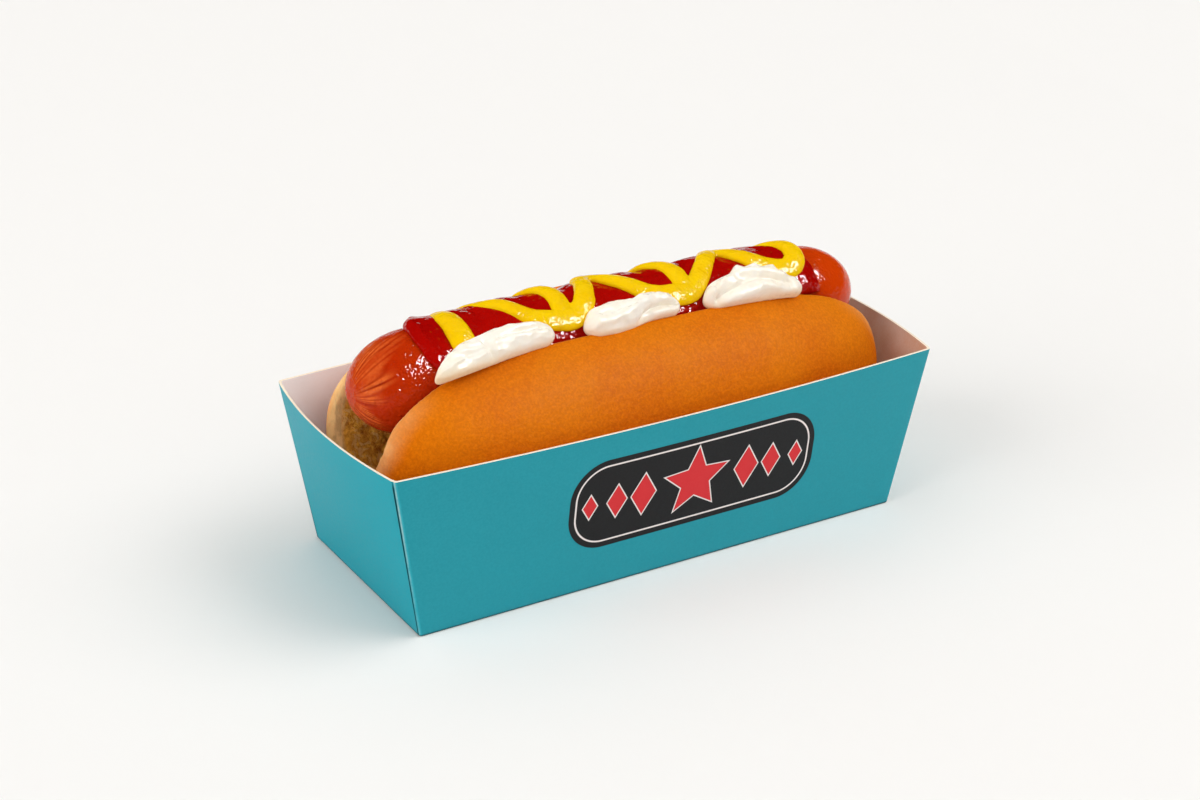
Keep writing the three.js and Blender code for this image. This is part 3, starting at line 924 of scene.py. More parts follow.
def bun_tree():
    """The roll as a solid field: an uneven superellipsoid with the slit taken out of it."""
    shape = ShapeTree("Split Roll", [*BUN_SIZES, *AXIS, "Channel", *BUN_SHAPE])
    g, tree, place = shape.inputs, shape.tree, shape.place
    x, y, z = split_vector(tree, place)

    rise = z - g["Waist"]
    upper = rise.above(0)
    dip = rise.least(0) / g["Waist"]
    along = abs(x / (g["Half Length"] * (1 + g["End Taper"] * dip)))
    crown = g["Top"] - g["Waist"]
    foot = g["Waist"] - g["Bottom"]
    power = g["Foot Squareness"] + upper * (g["Plumpness"] - g["Foot Squareness"])
    up = abs(rise) / (foot + upper * (crown - foot))
    across = abs(y) / (g["Half Width"] * (1 + g["Foot Taper"] * dip))
    section = (across ** power + up ** power) ** (1 / power)
    square = g["End Squareness"]
    body = (section ** square + along ** square) ** (1 / square)
    uneven = noise_field(tree, place, *CRUMB.bumps) - 0.5
    crust = (body - 1) * g["Half Width"] + uneven * g["Uneven"] * 2

    aside = abs(y - g["Axis Y"])
    flank = ((z - g["Hinge"]) / g["Slit Rise"]).clamp() ** g["Slit Power"] * g["Slit"]
    half_slit = flank + (z - g["Lip Height"]).most(0) * g["Flare"]
    slit = (half_slit - aside).least(z - g["Hinge"])
    above_axis = z - g["Axis Z"]
    channel = g["Channel"] - (aside * aside + above_axis * above_axis).root()
    opening = slit.most(channel)
    large = 1 - cell_field(tree, place, CRUMB.large).step(*CRUMB.large_step)
    small = 1 - cell_field(tree, place, CRUMB.small).step(*CRUMB.small_step)
    torn = noise_field(tree, place, *CRUMB.torn) - 0.5
    large_depth, small_depth, torn_depth = CRUMB.depths
    holes = large * large_depth + small * small_depth + torn * torn_depth
    pores = holes * g["Pore Depth"] * (-crust).step(*CRUMB.inside)
    solid = crust.math("SMOOTH_MAX", opening + pores, g["Lip Round"])

    margin = 2 * g["Voxel"]
    reach, broad = g["Half Length"] + margin, g["Half Width"] + margin
    low_z, high_z = g["Bottom"] - margin, g["Top"] + margin
    block = shape.node("VolumeCube", {
        "Density": -solid,
        "Background": -1.0,
        "Min": join_vector(tree, -reach, -broad, low_z),
        "Max": join_vector(tree, reach, broad, high_z),
        "Resolution X": 2 * reach / g["Voxel"],
        "Resolution Y": 2 * broad / g["Voxel"],
        "Resolution Z": (high_z - low_z) / g["Voxel"],
    })
    shell = shape.node("VolumeToMesh", {"Volume": block.outputs["Volume"], "Threshold": 0.0},
                       resolution_mode="GRID")
    from_cut = opening - crust * CRUMB.crust_share
    return shape.finish(shape.store(
        shell.outputs["Mesh"],
        rind=from_cut.step(*CRUMB.rind), crumb=from_cut.step(*CRUMB.crumb),
        beside_cut=opening.step(*CRUMB.beside_cut),
        pore=(large * large_depth + small * CRUMB.small_share).clamp()))


def bun_finish(settings):
    """Satin crust with a fine orange-peel grain, pale beside the cut, over an open brown crumb."""
    look = BREAD
    finish, patches, speckle = food_finish("baked bread", look)
    crumb, rind, beside, pore = (finish.attribute(name)
                                 for name in ("crumb", "rind", "beside_cut", "pore"))
    crust, deep, pale = settings.crust_colour, settings.crust_deep, settings.crust_pale

    # Random blotches, and the crust darker towards the bottom.
    blush = patches * look.blush_share + finish.z.step(*look.darker_low) * look.low_share
    baked = finish.mix(blush.clamp(), crust, deep)
    peel = finish.noise(*look.peel)
    fine = finish.noise(*look.grain).step(*look.grain_step)
    grain = peel.step(*look.peel_step) * look.peel_share + fine * look.grain_share
    share, factor = look.light
    baked = finish.mix(grain * share, baked, tint(crust, factor))
    share, factor = look.dark
    baked = finish.mix((1 - grain) * share, baked, tint(deep, factor))

    rear = finish.y.step(*look.rear)
    ends = abs(finish.x).step(*look.ends)
    below = finish.z.step(*look.below)
    streaks = finish.noise(*look.streaks).step(*look.streak_step)
    underside = finish.z.step(*look.underside) * look.underside_share
    soft = (beside * ends * below * (look.front_share + rear) + underside).clamp()
    baked = finish.mix(soft * streaks.spread(*look.streak_share), baked, pale)
    stretched = add_node(finish.tree, "ShaderNodeVectorMath",
                         {0: finish.place, 1: look.pulled_long}, operation="MULTIPLY")
    pulled = finish.noise(*look.pulled, stretched.outputs[0]).step(*look.pulled_step)
    torn = finish.mix(pulled, *(tint(pale, factor) for factor in look.rind_tints))
    baked = finish.mix(rind.step(*look.rind) * ends.spread(*look.rind_share), baked, torn)

    # The pores get painted shade and the veins are darker crumb.
    veins = finish.noise(*look.veins).step(*look.vein_step)
    pore_share, vein_share = look.hollow_shares
    hollow = (pore * pore_share + veins * vein_share).clamp()
    inner = finish.mix(hollow, settings.crumb_colour, settings.crumb_deep)
    fibres = finish.noise(*look.fibres).step(*look.fibre_step)
    inner = finish.mix(fibres * look.fibre_share, inner, tint(pale, look.fibre_tint))
    finish.colour(finish.mix(crumb.step(*look.crumb), baked, inner))

    base, by_crumb, by_speckle = look.roughness
    finish.roughness(base + crumb * by_crumb + speckle * by_speckle)
    by_peel, by_speckle, all_crust = look.crust_relief
    by_vein, by_pore = look.crumb_relief
    crust_height = (peel * by_peel + speckle * by_speckle) * (1 - crumb) * all_crust
    finish.relief(crust_height + (veins * by_vein - pore * by_pore) * crumb, look.relief)
    return finish.material


class HOTDOG_OT_bun(bpy.types.Operator):
    """Bake the split roll"""

    bl_idname = "hotdog.make_bun"
    bl_label = "Bun"

    def execute(self, context):
        settings = context.scene.hotdog.bun
        material = bun_finish(settings)
        values = {
            **read_settings(settings, *BUN_SIZES), **BUN_SHAPE, **AXIS, "Material": material,
            "Channel": context.scene.hotdog.sausage.radius + GAP,
        }
        made = grow(mesh_object("split_roll", [], []), bun_tree(), values)
        keep_largest(made)
        finish_piece(made, material, "bun")
        return {"FINISHED"}


# ---------- Frankfurter ----------

SAUSAGE_SIZES = ("Radius", "Cap", "Creases", "Crease Depth", "Fine Creases", "Fine Depth", "Knot")
STEPS_ALONG, STEPS_AROUND = 250, 380
SEAM_MERGE = 0.002 * MM
# A wave is its height, how often it turns round the frankfurter, and where it starts.
CREASES = SimpleNamespace(
    deep_waves=((0.3, 2, 1.0), (0.1, 5, 0.4)), deep_power=24.0,
    fine_waves=((0.16, 3, 0.7), (0.035, 11, 2.0)), fine_bend=0.35, fine_power=2.4,
    reach=0.25, reach_up=0.4, up=0.05, reach_waves=((0.08, 5, 2.0), (0.05, 9, 0)),
    fine_reach=1.25, fine_rise=0.7,
    patchy=0.55, patchy_swirl=(0.3, 6, 9), patchy_wave=(0.25, 13, 1.3),
    # deep_dark and deep_pale say how much painted shade the deep creases get and how much painted
    # highlight lies between them.
    right_share=0.2, deep_dark=0.5, deep_pale=0.3, pale_power=4,
)
# The fine rings at a tip, and the skin's slow unevenness: how many waves in a metre and how many
# turns round it. Heights are in mm.
TIP_RINGS = SimpleNamespace(pitch=0.62 * MM, height=0.05, place=3 * MM, width=2.4 * MM)
SKIN_SWAYS = ((42.0, 0, 0.12), (95.0, 2, 0.06))
PUCKER_WIDTH = 1.1 * MM
# How the skin's colours are laid over each other, from the base upwards: painted warm bounce light
# towards the right end, a painted highlight on the ridges between the creases, and painted shade in
# the creases.
SKIN = SimpleNamespace(
    bounce_lit=(40 * MM, 72 * MM), bounce_lit_share=0.75, ridge_highlight_share=(0.6, 0.4), crease_share=0.58,
    crease_tint=0.35,
)


def waved(field, angle, *waves):
    """A field with waves round the frankfurter added to it."""
    for height, turns, start in waves:
        field = field + (angle * turns + start).sin() * height
    return field


def sausage_tree():
    """A long grid rolled into a frankfurter with rounded, creased ends."""
    shape = ShapeTree("Frankfurter", ["Left Tip", "Right Tip", *AXIS, *SAUSAGE_SIZES],
                      ["Steps Along", "Steps Around"])
    g, tree, c = shape.inputs, shape.tree, CREASES
    grid = shape.node("MeshGrid", {
        "Size X": 1.0, "Size Y": 1.0,
        "Vertices X": shape.source.outputs["Steps Along"],
        "Vertices Y": shape.source.outputs["Steps Around"],
    })
    u, v, _ = split_vector(tree, shape.place)
    whole = g["Right Tip"] - g["Left Tip"]
    along = whole * (0.5 - 0.5 * ((u + 0.5) * math.pi).cos())
    angle = (v + 0.5) * math.tau
    from_tip = along.least(whole - along)
    right = along.above(whole * 0.5)
    reach = (from_tip / g["Cap"]).least(1)
    round_end = (1 - (1 - reach) * (1 - reach)).most(0).root()

    deep_round = waved(angle, angle, *c.deep_waves)
    groove = (0.5 + 0.5 * (deep_round * g["Creases"]).cos()) ** c.deep_power
    upward = (angle + c.up).cos().most(0)
    longer = waved(c.reach + c.reach_up * upward * upward, angle, *c.reach_waves)
    envelope = ((reach / longer).clamp() * math.pi).sin().most(0)
    fine_round = waved(angle, angle, *c.fine_waves) + reach * c.fine_bend
    fine = (1 - abs((fine_round * g["Fine Creases"] * 0.5).sin())) ** c.fine_power
    height, turns, lean = c.patchy_swirl
    patchy = waved(c.patchy, angle, (height, turns, reach * lean), c.patchy_wave)
    fine_span = (reach / (longer * c.fine_reach)).clamp()
    fine_envelope = (fine_span ** c.fine_rise * math.pi).sin().most(0) * patchy.most(0)
    share = 1 - right * (1 - c.right_share)
    deep, shallow = groove * envelope, fine * fine_envelope
    crease = (deep * g["Crease Depth"] + shallow * g["Fine Depth"]) * share

    rings = (from_tip / TIP_RINGS.pitch).sin() * TIP_RINGS.height * MM
    rings = rings * (from_tip - TIP_RINGS.place).bell(TIP_RINGS.width)
    sway = sum((along * count + angle * turns).sin() * height * MM
               for count, turns, height in SKIN_SWAYS)
    radius = g["Radius"] * round_end + (sway * reach + rings * share - crease) * round_end
    pucker = g["Knot"] * radius.bell(PUCKER_WIDTH) * share

    # Painted shade in the creases, kept as crease, and a painted highlight on the ridges between
    # them, kept as stretched.
    dark = (deep * c.deep_dark + shallow) * share
    pale = envelope * (1 - groove) * c.deep_pale + fine_envelope * (1 - fine) ** c.pale_power
    marked = shape.store(grid.outputs["Mesh"], crease=dark.clamp(),
                         stretched=(pale * share).clamp())
    rolled = shape.node("SetPosition", {"Geometry": marked, "Position": join_vector(
        tree, g["Left Tip"] + along + pucker * (1 - 2 * right),
        g["Axis Y"] - radius * angle.sin(), g["Axis Z"] + radius * angle.cos())})
    sewn = shape.node("MergeByDistance", {"Geometry": rolled.outputs[0], "Distance": SEAM_MERGE})
    return shape.finish(sewn.outputs[0])


def sausage_finish(settings):
    """Cooked skin: glossy and mottled, with a painted highlight on the ridges between its creases
    and painted shade in them.
    """
    finish, base, speckle = wet_food("cooked skin", settings.skin_colour, settings.skin_deep)
    # Painted warm bounce light towards the right end.
    bounce_lit = finish.x.step(*SKIN.bounce_lit) * SKIN.bounce_lit_share
    base = finish.mix(bounce_lit, base, settings.skin_bounce_lit)
    # The attribute stretched is a painted highlight on the ridges between the creases.
    stretched = (finish.attribute("stretched") * speckle.spread(*SKIN.ridge_highlight_share)).clamp()
    base = finish.mix(stretched, base, settings.skin_ridge_highlight)
    # Painted shade in the creases.
    finish.colour(finish.mix(finish.attribute("crease") * SKIN.crease_share, base,
                             tint(settings.skin_deep, SKIN.crease_tint)))
    return finish.material


class HOTDOG_OT_sausage(bpy.types.Operator):
    """Roll the frankfurter"""

    bl_idname = "hotdog.make_sausage"
    bl_label = "Frankfurter"

    def execute(self, context):
        settings = context.scene.hotdog.sausage
        material = sausage_finish(settings)
        values = {
            **read_settings(settings, *SAUSAGE_SIZES), **AXIS, "Material": material,
            "Left Tip": SAUSAGE_LOW.x, "Right Tip": SAUSAGE_HIGH.x,
            "Steps Along": STEPS_ALONG, "Steps Around": STEPS_AROUND,
        }
        made = grow(mesh_object("frankfurter", [], []), sausage_tree(), values)
        finish_piece(made, material, "sausage")
        return {"FINISHED"}


# ---------- Ketchup ----------

# Places on the sauces are given along the frankfurter and by their angle about its axis, in degrees
# from straight up and positive towards the front. The ends' waves and the surface's swells are each
# a height, a count and a start or a slant.
KETCHUP = SimpleNamespace(
    left=-62.2 * MM, left_angle=15, left_curl=0.0018 * MM,
    right=58.8 * MM, right_angle=52, right_curl=0.0014 * MM,
    end_waves=((0.3 * MM, 0.09, 0), (0.1 * MM, 0.21, 1)),
    swells=((0.3 * MM, 0.5 / MM, 0.03), (0.2 * MM, 0.23 / MM, -0.06)),
    far_angle=-62, near_angle=66, fill=0.86, relief=0.75,
    edge=2.3 * MM, right_thin=0.55, rim=0.3 * MM, steps=(230, 96), crowding=0.125,
    lip=0.3 * MM, lip_inset=2.0 * MM, lip_width=1.7 * MM,
    steep=1.1 * MM, gentle=6.5 * MM,
)
# Tongues of ketchup lap over each other, steep towards the left and gentle towards the right: each
# edge's place in mm, its slant in mm for each degree, and its height in mm.
KETCHUP_TONGUES = [
    (-40.5, 0.035, 0.75), (-29, 0.08, 0.45), (-13, -0.05, 0.7), (3, 0.07, 0.55),
    (11, -0.04, 0.6), (26, 0.06, 0.7), (40, -0.05, 0.55), (52.6, -0.01, 1.0),
]


def on_sausage(x, radius, degrees):
    """Points at a distance from the frankfurter's axis."""
    angle = np.radians(degrees)
    return np.stack([x, SAUSAGE_AXIS.y - radius * np.sin(angle),
                     SAUSAGE_AXIS.z + radius * np.cos(angle)], -1)


def ketchup_ends(angle):
    """Where the ketchup begins and ends along the frankfurter, at an angle."""
    k = KETCHUP
    wave = sum(size * np.sin(angle * count + start) for size, count, start in k.end_waves)
    left = k.left + k.left_curl * (angle - k.left_angle) ** 2
    right = k.right - k.right_curl * (angle - k.right_angle) ** 2
    return left + wave, right + wave


def ketchup_height(x, angle, radius, thickness):
    """How thick the ketchup stands at a place."""
    k = KETCHUP
    left, right = ketchup_ends(angle)
    arc = np.radians(1) * radius
    from_end = np.minimum(x - left, (right - x) * k.right_thin)
    from_side = np.minimum(angle - k.far_angle, k.near_angle - angle) * arc
    reach = np.clip(np.minimum(from_end, from_side) / k.edge, 0, 1)
    round_edge = np.sqrt(1 - (1 - reach) ** 2)
    relief = sum(size * np.sin(count * x + slant * angle) for size, count, slant in k.swells)
    for place, slant, height in KETCHUP_TONGUES:
        past = x - (place + slant * angle) * MM
        width = np.where(past < 0, k.steep, k.gentle)
        relief = relief + height * MM * np.exp(-(past / width) ** 2)
    lip = k.lip * np.exp(-((from_end - k.lip_inset) / k.lip_width) ** 2)
    raised = thickness * k.fill - k.rim + (relief * k.relief + lip) * reach
    return k.rim + raised * round_edge


def crowded(steps):
    """Steps from 0 to 1 that crowd towards both ends."""
    t = np.linspace(0, 1, steps)
    return t - KETCHUP.crowding * np.sin(2 * math.pi * t)


def sheet_grid(rows, columns, first=0, flip=False):
    """Faces of a grid of points."""
    faces = []
    for r in range(rows - 1):
        for c in range(columns - 1):
            a = first + r * columns + c
            face = (a, a + 1, a + columns + 1, a + columns)
            faces.append(tuple(reversed(face)) if flip else face)
    return faces


def skin(name, outer, inner):
    """A closed body between two sheets of the same grid."""
    rows, columns = outer.shape[:2]
    count = rows * columns
    faces = sheet_grid(rows, columns) + sheet_grid(rows, columns, count, True)
    border = [(0, c) for c in range(columns - 1)] + [(r, columns - 1) for r in range(rows - 1)]
    border += [(rows - 1, c) for c in range(columns - 1, 0, -1)]
    border += [(r, 0) for r in range(rows - 1, 0, -1)]
    ring = [r * columns + c for r, c in border]
    for a, b in zip(ring, ring[1:] + ring[:1]):
        faces.append((b, a, a + count, b + count))
    return mesh_object(name, np.concatenate([outer.reshape(-1, 3), inner.reshape(-1, 3)]), faces)


def ketchup_mesh(radius, thickness):
    """The layer of ketchup along the top of the frankfurter."""
    along, around = (crowded(steps) for steps in KETCHUP.steps)
    far, near = KETCHUP.far_angle, KETCHUP.near_angle
    angle = far + (near - far) * around[None, :] + 0 * along[:, None]
    left, right = ketchup_ends(angle)
    x = left + (right - left) * along[:, None]
    height = ketchup_height(x, angle, radius, thickness)
    return skin("ketchup_layer", on_sausage(x, radius + GAP + height, angle),
                on_sausage(x, radius + 0.5 * GAP + 0 * x, angle))


class HOTDOG_OT_ketchup(bpy.types.Operator):
    """Lay the ketchup"""

    bl_idname = "hotdog.make_ketchup"
    bl_label = "Ketchup"

    def execute(self, context):
        settings = context.scene.hotdog
        sauces = settings.sauces
        finish, _, _ = wet_food("ketchup", sauces.ketchup_colour, sauces.ketchup_thin)
        made = ketchup_mesh(settings.sausage.radius, sauces.ketchup_thickness)
        carve(made, bpy.data.objects["split_roll"])
        finish_piece(made, finish.material, "ketchup", CUT_ANGLE)
        return {"FINISHED"}


# ---------- Mustard and mayonnaise ----------

# The mustard's path over the ketchup: place along in mm, angle, and how many times the bead's own
# width it is.
MUSTARD_RUNS = [
    [(-50.2, 56, 1.3), (-50.8, 32, 1.26), (-50.6, 4, 1.12), (-50.2, -22, 0.96), (-48.6, -48, 0.85),
     (-46, -58, 0.8), (-43, -46, 0.84), (-40, -24, 0.92), (-36.8, -6, 1.0), (-34, 8, 1.02),
     (-31.4, 20, 1.02), (-28.6, 29.5, 1.04), (-25.2, 36, 1.12), (-21.2, 38.5, 1.22),
     (-16.6, 36, 1.14), (-13.4, 24, 1.02), (-11.4, 10, 0.96), (-9.5, -3, 0.96),
     (-8.5, -17, 0.96), (-5.6, -26, 0.95), (-2.9, -20, 0.95),
     (-1.2, -6, 1.0), (1.4, 10, 1.04), (4.4, 26, 1.06), (8.6, 35, 1.1), (14, 39.5, 1.22),
     (18.2, 37, 1.14), (21.6, 27, 1.05), (24.6, 16, 1.0), (27.4, 5, 0.97), (30, -6, 0.97),
     (32.4, -18, 0.96), (34.8, -19, 0.96), (36.9, -8, 0.98), (38.3, 5, 1.02), (40.2, 18, 1.06),
     (43.4, 27, 1.08), (47.2, 34, 1.14), (50.6, 36, 1.14), (53.1, 28, 1.06), (54.2, 14, 1.0),
     (53.8, 1, 1.0), (52.3, -11, 0.94), (50.4, -23, 0.88), (49, -36, 0.8), (48, -48, 0.7)],
    [(-21.2, 36, 1.0), (-20.2, 20, 0.98), (-19.8, 6, 0.98), (-20.4, -8, 0.94), (-21.8, -20, 0.88),
     (-23.6, -34, 0.8), (-25, -48, 0.7)],
    [(15.8, 36, 1.0), (16.5, 21, 1.0), (16.8, 7, 1.0), (16.1, -7, 0.94), (14.5, -20, 0.88),
     (12.7, -34, 0.8), (11.4, -48, 0.7)],
]
MUSTARD = SimpleNamespace(
    steps=9, rounds=10, bed_rounds=24, lift=0.1 * MM,
    sink=1.2 * MM, sink_from=-33 * MM, sink_over=8 * MM, sink_angle=14,
    sink_turn=34, tip=2.6 * MM, least_tip=0.06,
    step=0.6 * MM, uneven=0.3, bumps=(190.0, 2.0, 0.5), sides=24,
    voxel=0.3 * MM, melt=0.5, melt_rounds=4,
)

# The groove between the frankfurter and the front lip, and the dollops of mayonnaise in it. A
# dollop's stations are its place along in mm, the shares of the way across the groove where it
# begins and ends, and how high it stands in mm. A fold is a line of (place along in mm, share), its
# height in mm, negative for a valley, and its width in mm above and below the line.
GROOVE_TOP = Vector((-9.5, 69)) * MM
GROOVE_FOOT = Vector((-19.8, 64)) * MM
DOLLOPS = [
    {"stations": [(-63.4, 0.84, 0.98, 1.3), (-59.5, 0.54, 0.98, 2.6), (-54, 0.24, 0.93, 3.4),
                  (-47, 0.13, 0.84, 3.8), (-40, 0.05, 0.75, 3.9), (-33, 0.05, 0.69, 3.6),
                  (-26.8, 0.2, 0.66, 2.8)],
     "tips": (2.2, 3.4),
     "folds": [([(-47.9, 0.42), (-47.6, 0.62), (-46.6, 0.84)], -0.85, 1.3, 0.8),
               ([(-58, 0.6), (-52, 0.4), (-45, 0.27), (-38, 0.18), (-31, 0.22)], 0.4, 1.4, 1.0),
               ([(-43.5, 0.42), (-37, 0.34), (-30, 0.38)], -0.45, 0.7, 0.5),
               ([(-45, 0.56), (-38, 0.49), (-30, 0.5)], 0.45, 0.9, 1.1),
               ([(-57, 0.82), (-52, 0.7), (-49, 0.62)], -0.3, 0.8, 0.8)]},
    {"stations": [(-17.8, 0.3, 0.64, 2.6), (-14.5, 0.09, 0.75, 3.5), (-9.5, -0.03, 0.78, 3.9),
                  (-4, 0.07, 0.73, 4.0), (0.5, 0.07, 0.64, 3.9), (5, 0.07, 0.61, 3.7),
                  (11.4, 0.28, 0.62, 2.7)],
     "tips": (3.2, 2.8),
     "folds": [([(-16, 0.6), (-10, 0.58), (-6, 0.54), (0, 0.36), (3.5, 0.28), (7, 0.3)],
                0.75, 2.0, 1.1),
               ([(-3.4, 0.8), (-0.7, 0.62), (1.8, 0.52), (5, 0.47), (9, 0.5)], -1.3, 0.7, 1.1),
               ([(3, 0.66), (6.3, 0.61), (9.5, 0.6)], 0.5, 1.2, 1.2),
               ([(-13, 0.42), (-8, 0.39), (-2.5, 0.32)], -0.45, 0.8, 0.6),
               ([(-13, 0.25), (-8, 0.17), (-3, 0.17)], 0.35, 1.0, 1.0),
               ([(1.2, 0.08), (4.2, 0.04)], 0.8, 1.6, 1.6)]},
    {"stations": [(19.2, 0.3, 0.62, 2.8), (23, 0.08, 0.7, 3.9), (28.5, 0.02, 0.72, 4.6),
                  (33.5, -0.1, 0.74, 5.3), (39, -0.04, 0.77, 5.0), (44, 0.1, 0.81, 4.2),
                  (49.2, 0.55, 0.86, 2.4)],
     "tips": (3.0, 2.4),
     "folds": [([(31.3, 0.02)], 1.1, 1.7, 1.7), ([(36.4, 0.1)], 0.8, 1.6, 1.6),
               ([(41.3, 0.2)], 0.9, 1.5, 1.5),
               ([(20.5, 0.43), (24.2, 0.35), (29.6, 0.17), (34.2, 0.2), (38.3, 0.3), (43, 0.5)],
                0.6, 1.4, 1.0),
               ([(22.5, 0.65), (26.5, 0.54), (30, 0.47), (35.2, 0.43), (40.3, 0.54), (44, 0.68)],
                -0.75, 0.9, 0.9),
               ([(21.8, 0.78), (27.9, 0.69), (33.4, 0.66), (36.5, 0.62), (40.3, 0.73),
                 (45.5, 0.82)], 0.75, 1.0, 1.3),
               ([(22.7, 0.28), (22.3, 0.5), (21.7, 0.78)], -0.5, 0.8, 0.6)]},
]
MAYONNAISE = SimpleNamespace(
    steps=(34, 112), rounds=40, fullness=0.82, belly=3 * MM, least_tip=1e-4,
    fold_strength=1.35, relief_rise=1.6,
    ripple=0.42 * MM, ripple_size=(5.5 * MM, 2.3 * MM), ripple_lean=0.12,
    ripple_seed=3.7, ripple_middle=0.5, fine_height=0.4, fine_scale=2.3,
)


def bead_tree():
    """A squeezed bead: its path swept by an oval that stands upright on the frankfurter."""
    shape = ShapeTree("Squeezed Bead", ["Step", "Half Width", "Half Height", *AXIS, "Uneven"],
                      ["Sides"], takes_mesh=True)
    g, tree = shape.inputs, shape.tree
    path = shape.node("MeshToCurve", {"Mesh": shape.source.outputs["Geometry"]})
    even = shape.node("ResampleCurve", {"Curve": path.outputs[0], "Length": g["Step"]},
                      mode="LENGTH")
    _, y, z = split_vector(tree, shape.place)
    upright = join_vector(tree, 0.0, y - g["Axis Y"], z - g["Axis Z"])
    normal = add_node(tree, "ShaderNodeVectorMath", {0: upright}, operation="NORMALIZE")
    standing = shape.node("SetCurveNormal",
                          {"Curve": even.outputs[0], "Normal": normal.outputs[0]}, mode="FREE")
    circle = shape.node("CurvePrimitiveCircle",
                        {"Resolution": shape.source.outputs["Sides"], "Radius": 1.0})
    oval = shape.node("Transform", {
        "Geometry": circle.outputs[0],
        "Scale": join_vector(tree, g["Half Height"], g["Half Width"], 1.0)})
    width = shape.node("InputNamedAttribute", {"Name": "width"}, data_type="FLOAT")
    uneven = 1 + (noise_field(tree, shape.place, *MUSTARD.bumps) - 0.5) * g["Uneven"]
    swept = shape.node("CurveToMesh", {
        "Curve": standing.outputs[0], "Profile Curve": oval.outputs[0],
        "Scale": Field(tree, width.outputs[0]) * uneven, "Fill Caps": True,
    })
    return shape.finish(swept.outputs[0])


def smooth_rows(rows, rounds):
    """Rounds off a row of points, with its ends kept."""
    rows = np.array(rows, float)
    for _ in range(rounds):
        rows[1:-1] = (rows[:-2] + 2 * rows[1:-1] + rows[2:]) / 4
    return rows


def stations(rows, steps):
    """Fills in a row of given stations with so many steps between each two."""
    fine = np.linspace(0, len(rows) - 1, steps * (len(rows) - 1) + 1)
    return np.stack([np.interp(fine, np.arange(len(rows)), column) for column in zip(*rows)], -1)


def tapered(points, widths):
    """Widths that round off towards both ends of a path."""
    gone = np.concatenate([[0], np.cumsum(np.linalg.norm(np.diff(points, axis=0), axis=1))])
    reach = np.clip(np.minimum(gone, gone[-1] - gone) / MUSTARD.tip, 0, 1)
    return widths * np.sqrt(np.clip(1 - (1 - reach) ** 2, MUSTARD.least_tip, 1))


def bead_object(name, paths, values):
    """Sweeps every path of a sauce, then melts the beads into one smooth body."""
    points, edges, widths = [], [], []
    for path, width in paths:
        first = len(points)
        points.extend(path)
        widths.extend(width)
        edges.extend((i, i + 1) for i in range(first, len(points) - 1))
    made = mesh_object(name, points, [], edges)
    made.data.attributes.new("width", "FLOAT", "POINT").data.foreach_set("value", widths)
    grow(made, bead_tree(), values)
    modify(made, "REMESH", mode="VOXEL", voxel_size=MUSTARD.voxel)
    modify(made, "SMOOTH", factor=MUSTARD.melt, iterations=MUSTARD.melt_rounds)
    bake(made)
    keep_largest(made)
    return made


def mustard_paths(radius, thickness):
    """The mustard's runs as points on the ketchup, each with its width."""
    m, paths = MUSTARD, []
    for run in MUSTARD_RUNS:
        rows = smooth_rows(stations(run, m.steps), m.rounds)
        x, angle, widths = rows[:, 0] * MM, rows[:, 1], rows[:, 2]
        bed = radius + GAP + ketchup_height(x, angle, radius, thickness) + m.lift
        leftward = np.clip((m.sink_from - x) / m.sink_over, 0, 1)
        backward = np.clip((m.sink_angle - angle) / m.sink_turn, 0, 1)
        bed = smooth_rows((bed - m.sink * leftward * backward)[:, None], m.bed_rounds)[:, 0]
        points = on_sausage(x, bed, angle)
        paths.append((points, tapered(points, widths)))
    return paths


class HOTDOG_OT_mustard(bpy.types.Operator):
    """Squeeze the mustard in its zigzag"""

    bl_idname = "hotdog.make_mustard"
    bl_label = "Mustard"

    def execute(self, context):
        settings = context.scene.hotdog
        sauces = settings.sauces
        finish, _, _ = wet_food("mustard", sauces.mustard_colour, sauces.mustard_deep)
        values = {
            "Step": MUSTARD.step, "Half Width": sauces.mustard_width,
            "Half Height": sauces.mustard_height / 2, "Uneven": MUSTARD.uneven,
            "Sides": MUSTARD.sides, "Material": finish.material, **AXIS,
        }
        paths = mustard_paths(settings.sausage.radius, sauces.ketchup_thickness)
        made = bead_object("mustard_bead", paths, values)
        finish_piece(made, finish.material, "ketchup")
        return {"FINISHED"}


def signed_power(values, power):
    """A power that keeps the sign."""
    return np.sign(values) * np.abs(values) ** power


def fold_relief(fold, x, across):
    """How far one fold lifts each place, given in mm along and across."""
    line, height, above, below = fold
    width_across = (GROOVE_FOOT - GROOVE_TOP).length / MM
    line = [np.array((a, share * width_across)) for a, share in line]
    place = np.stack([x, across], -1)
    nearest = np.full(x.shape, np.inf)
    side = np.zeros(x.shape)
    for start, stop in zip(line, line[1:] + line[-1:]):
        run = stop - start
        squared = max(float(run @ run), TINY)
        t = np.clip(((place - start) @ run) / squared, 0, 1)
        offset = place - (start + t[..., None] * run)
        gone = np.linalg.norm(offset, axis=-1)
        closer = gone < nearest
        nearest = np.where(closer, gone, nearest)
        side = np.where(closer, offset[..., 1], side)
    width = np.where(side < 0, above, below)
    return height * np.exp(-(nearest / width) ** 2)


def ripple_relief(x, across):
    """Fine whipped ridges that run along the dollop."""
    m = MAYONNAISE
    long_size, short_size = m.ripple_size
    relief = np.empty(x.shape)
    for i, (a, b) in enumerate(zip(x.flat, across.flat)):
        sideways = b * MM / short_size + m.ripple_lean * a * MM / short_size
        place = Vector((a * MM / long_size, sideways, m.ripple_seed))
        ridge = 1 - 2 * abs(noise.noise(place))
        relief.flat[i] = ridge + m.fine_height * noise.noise(place * m.fine_scale)
    return relief


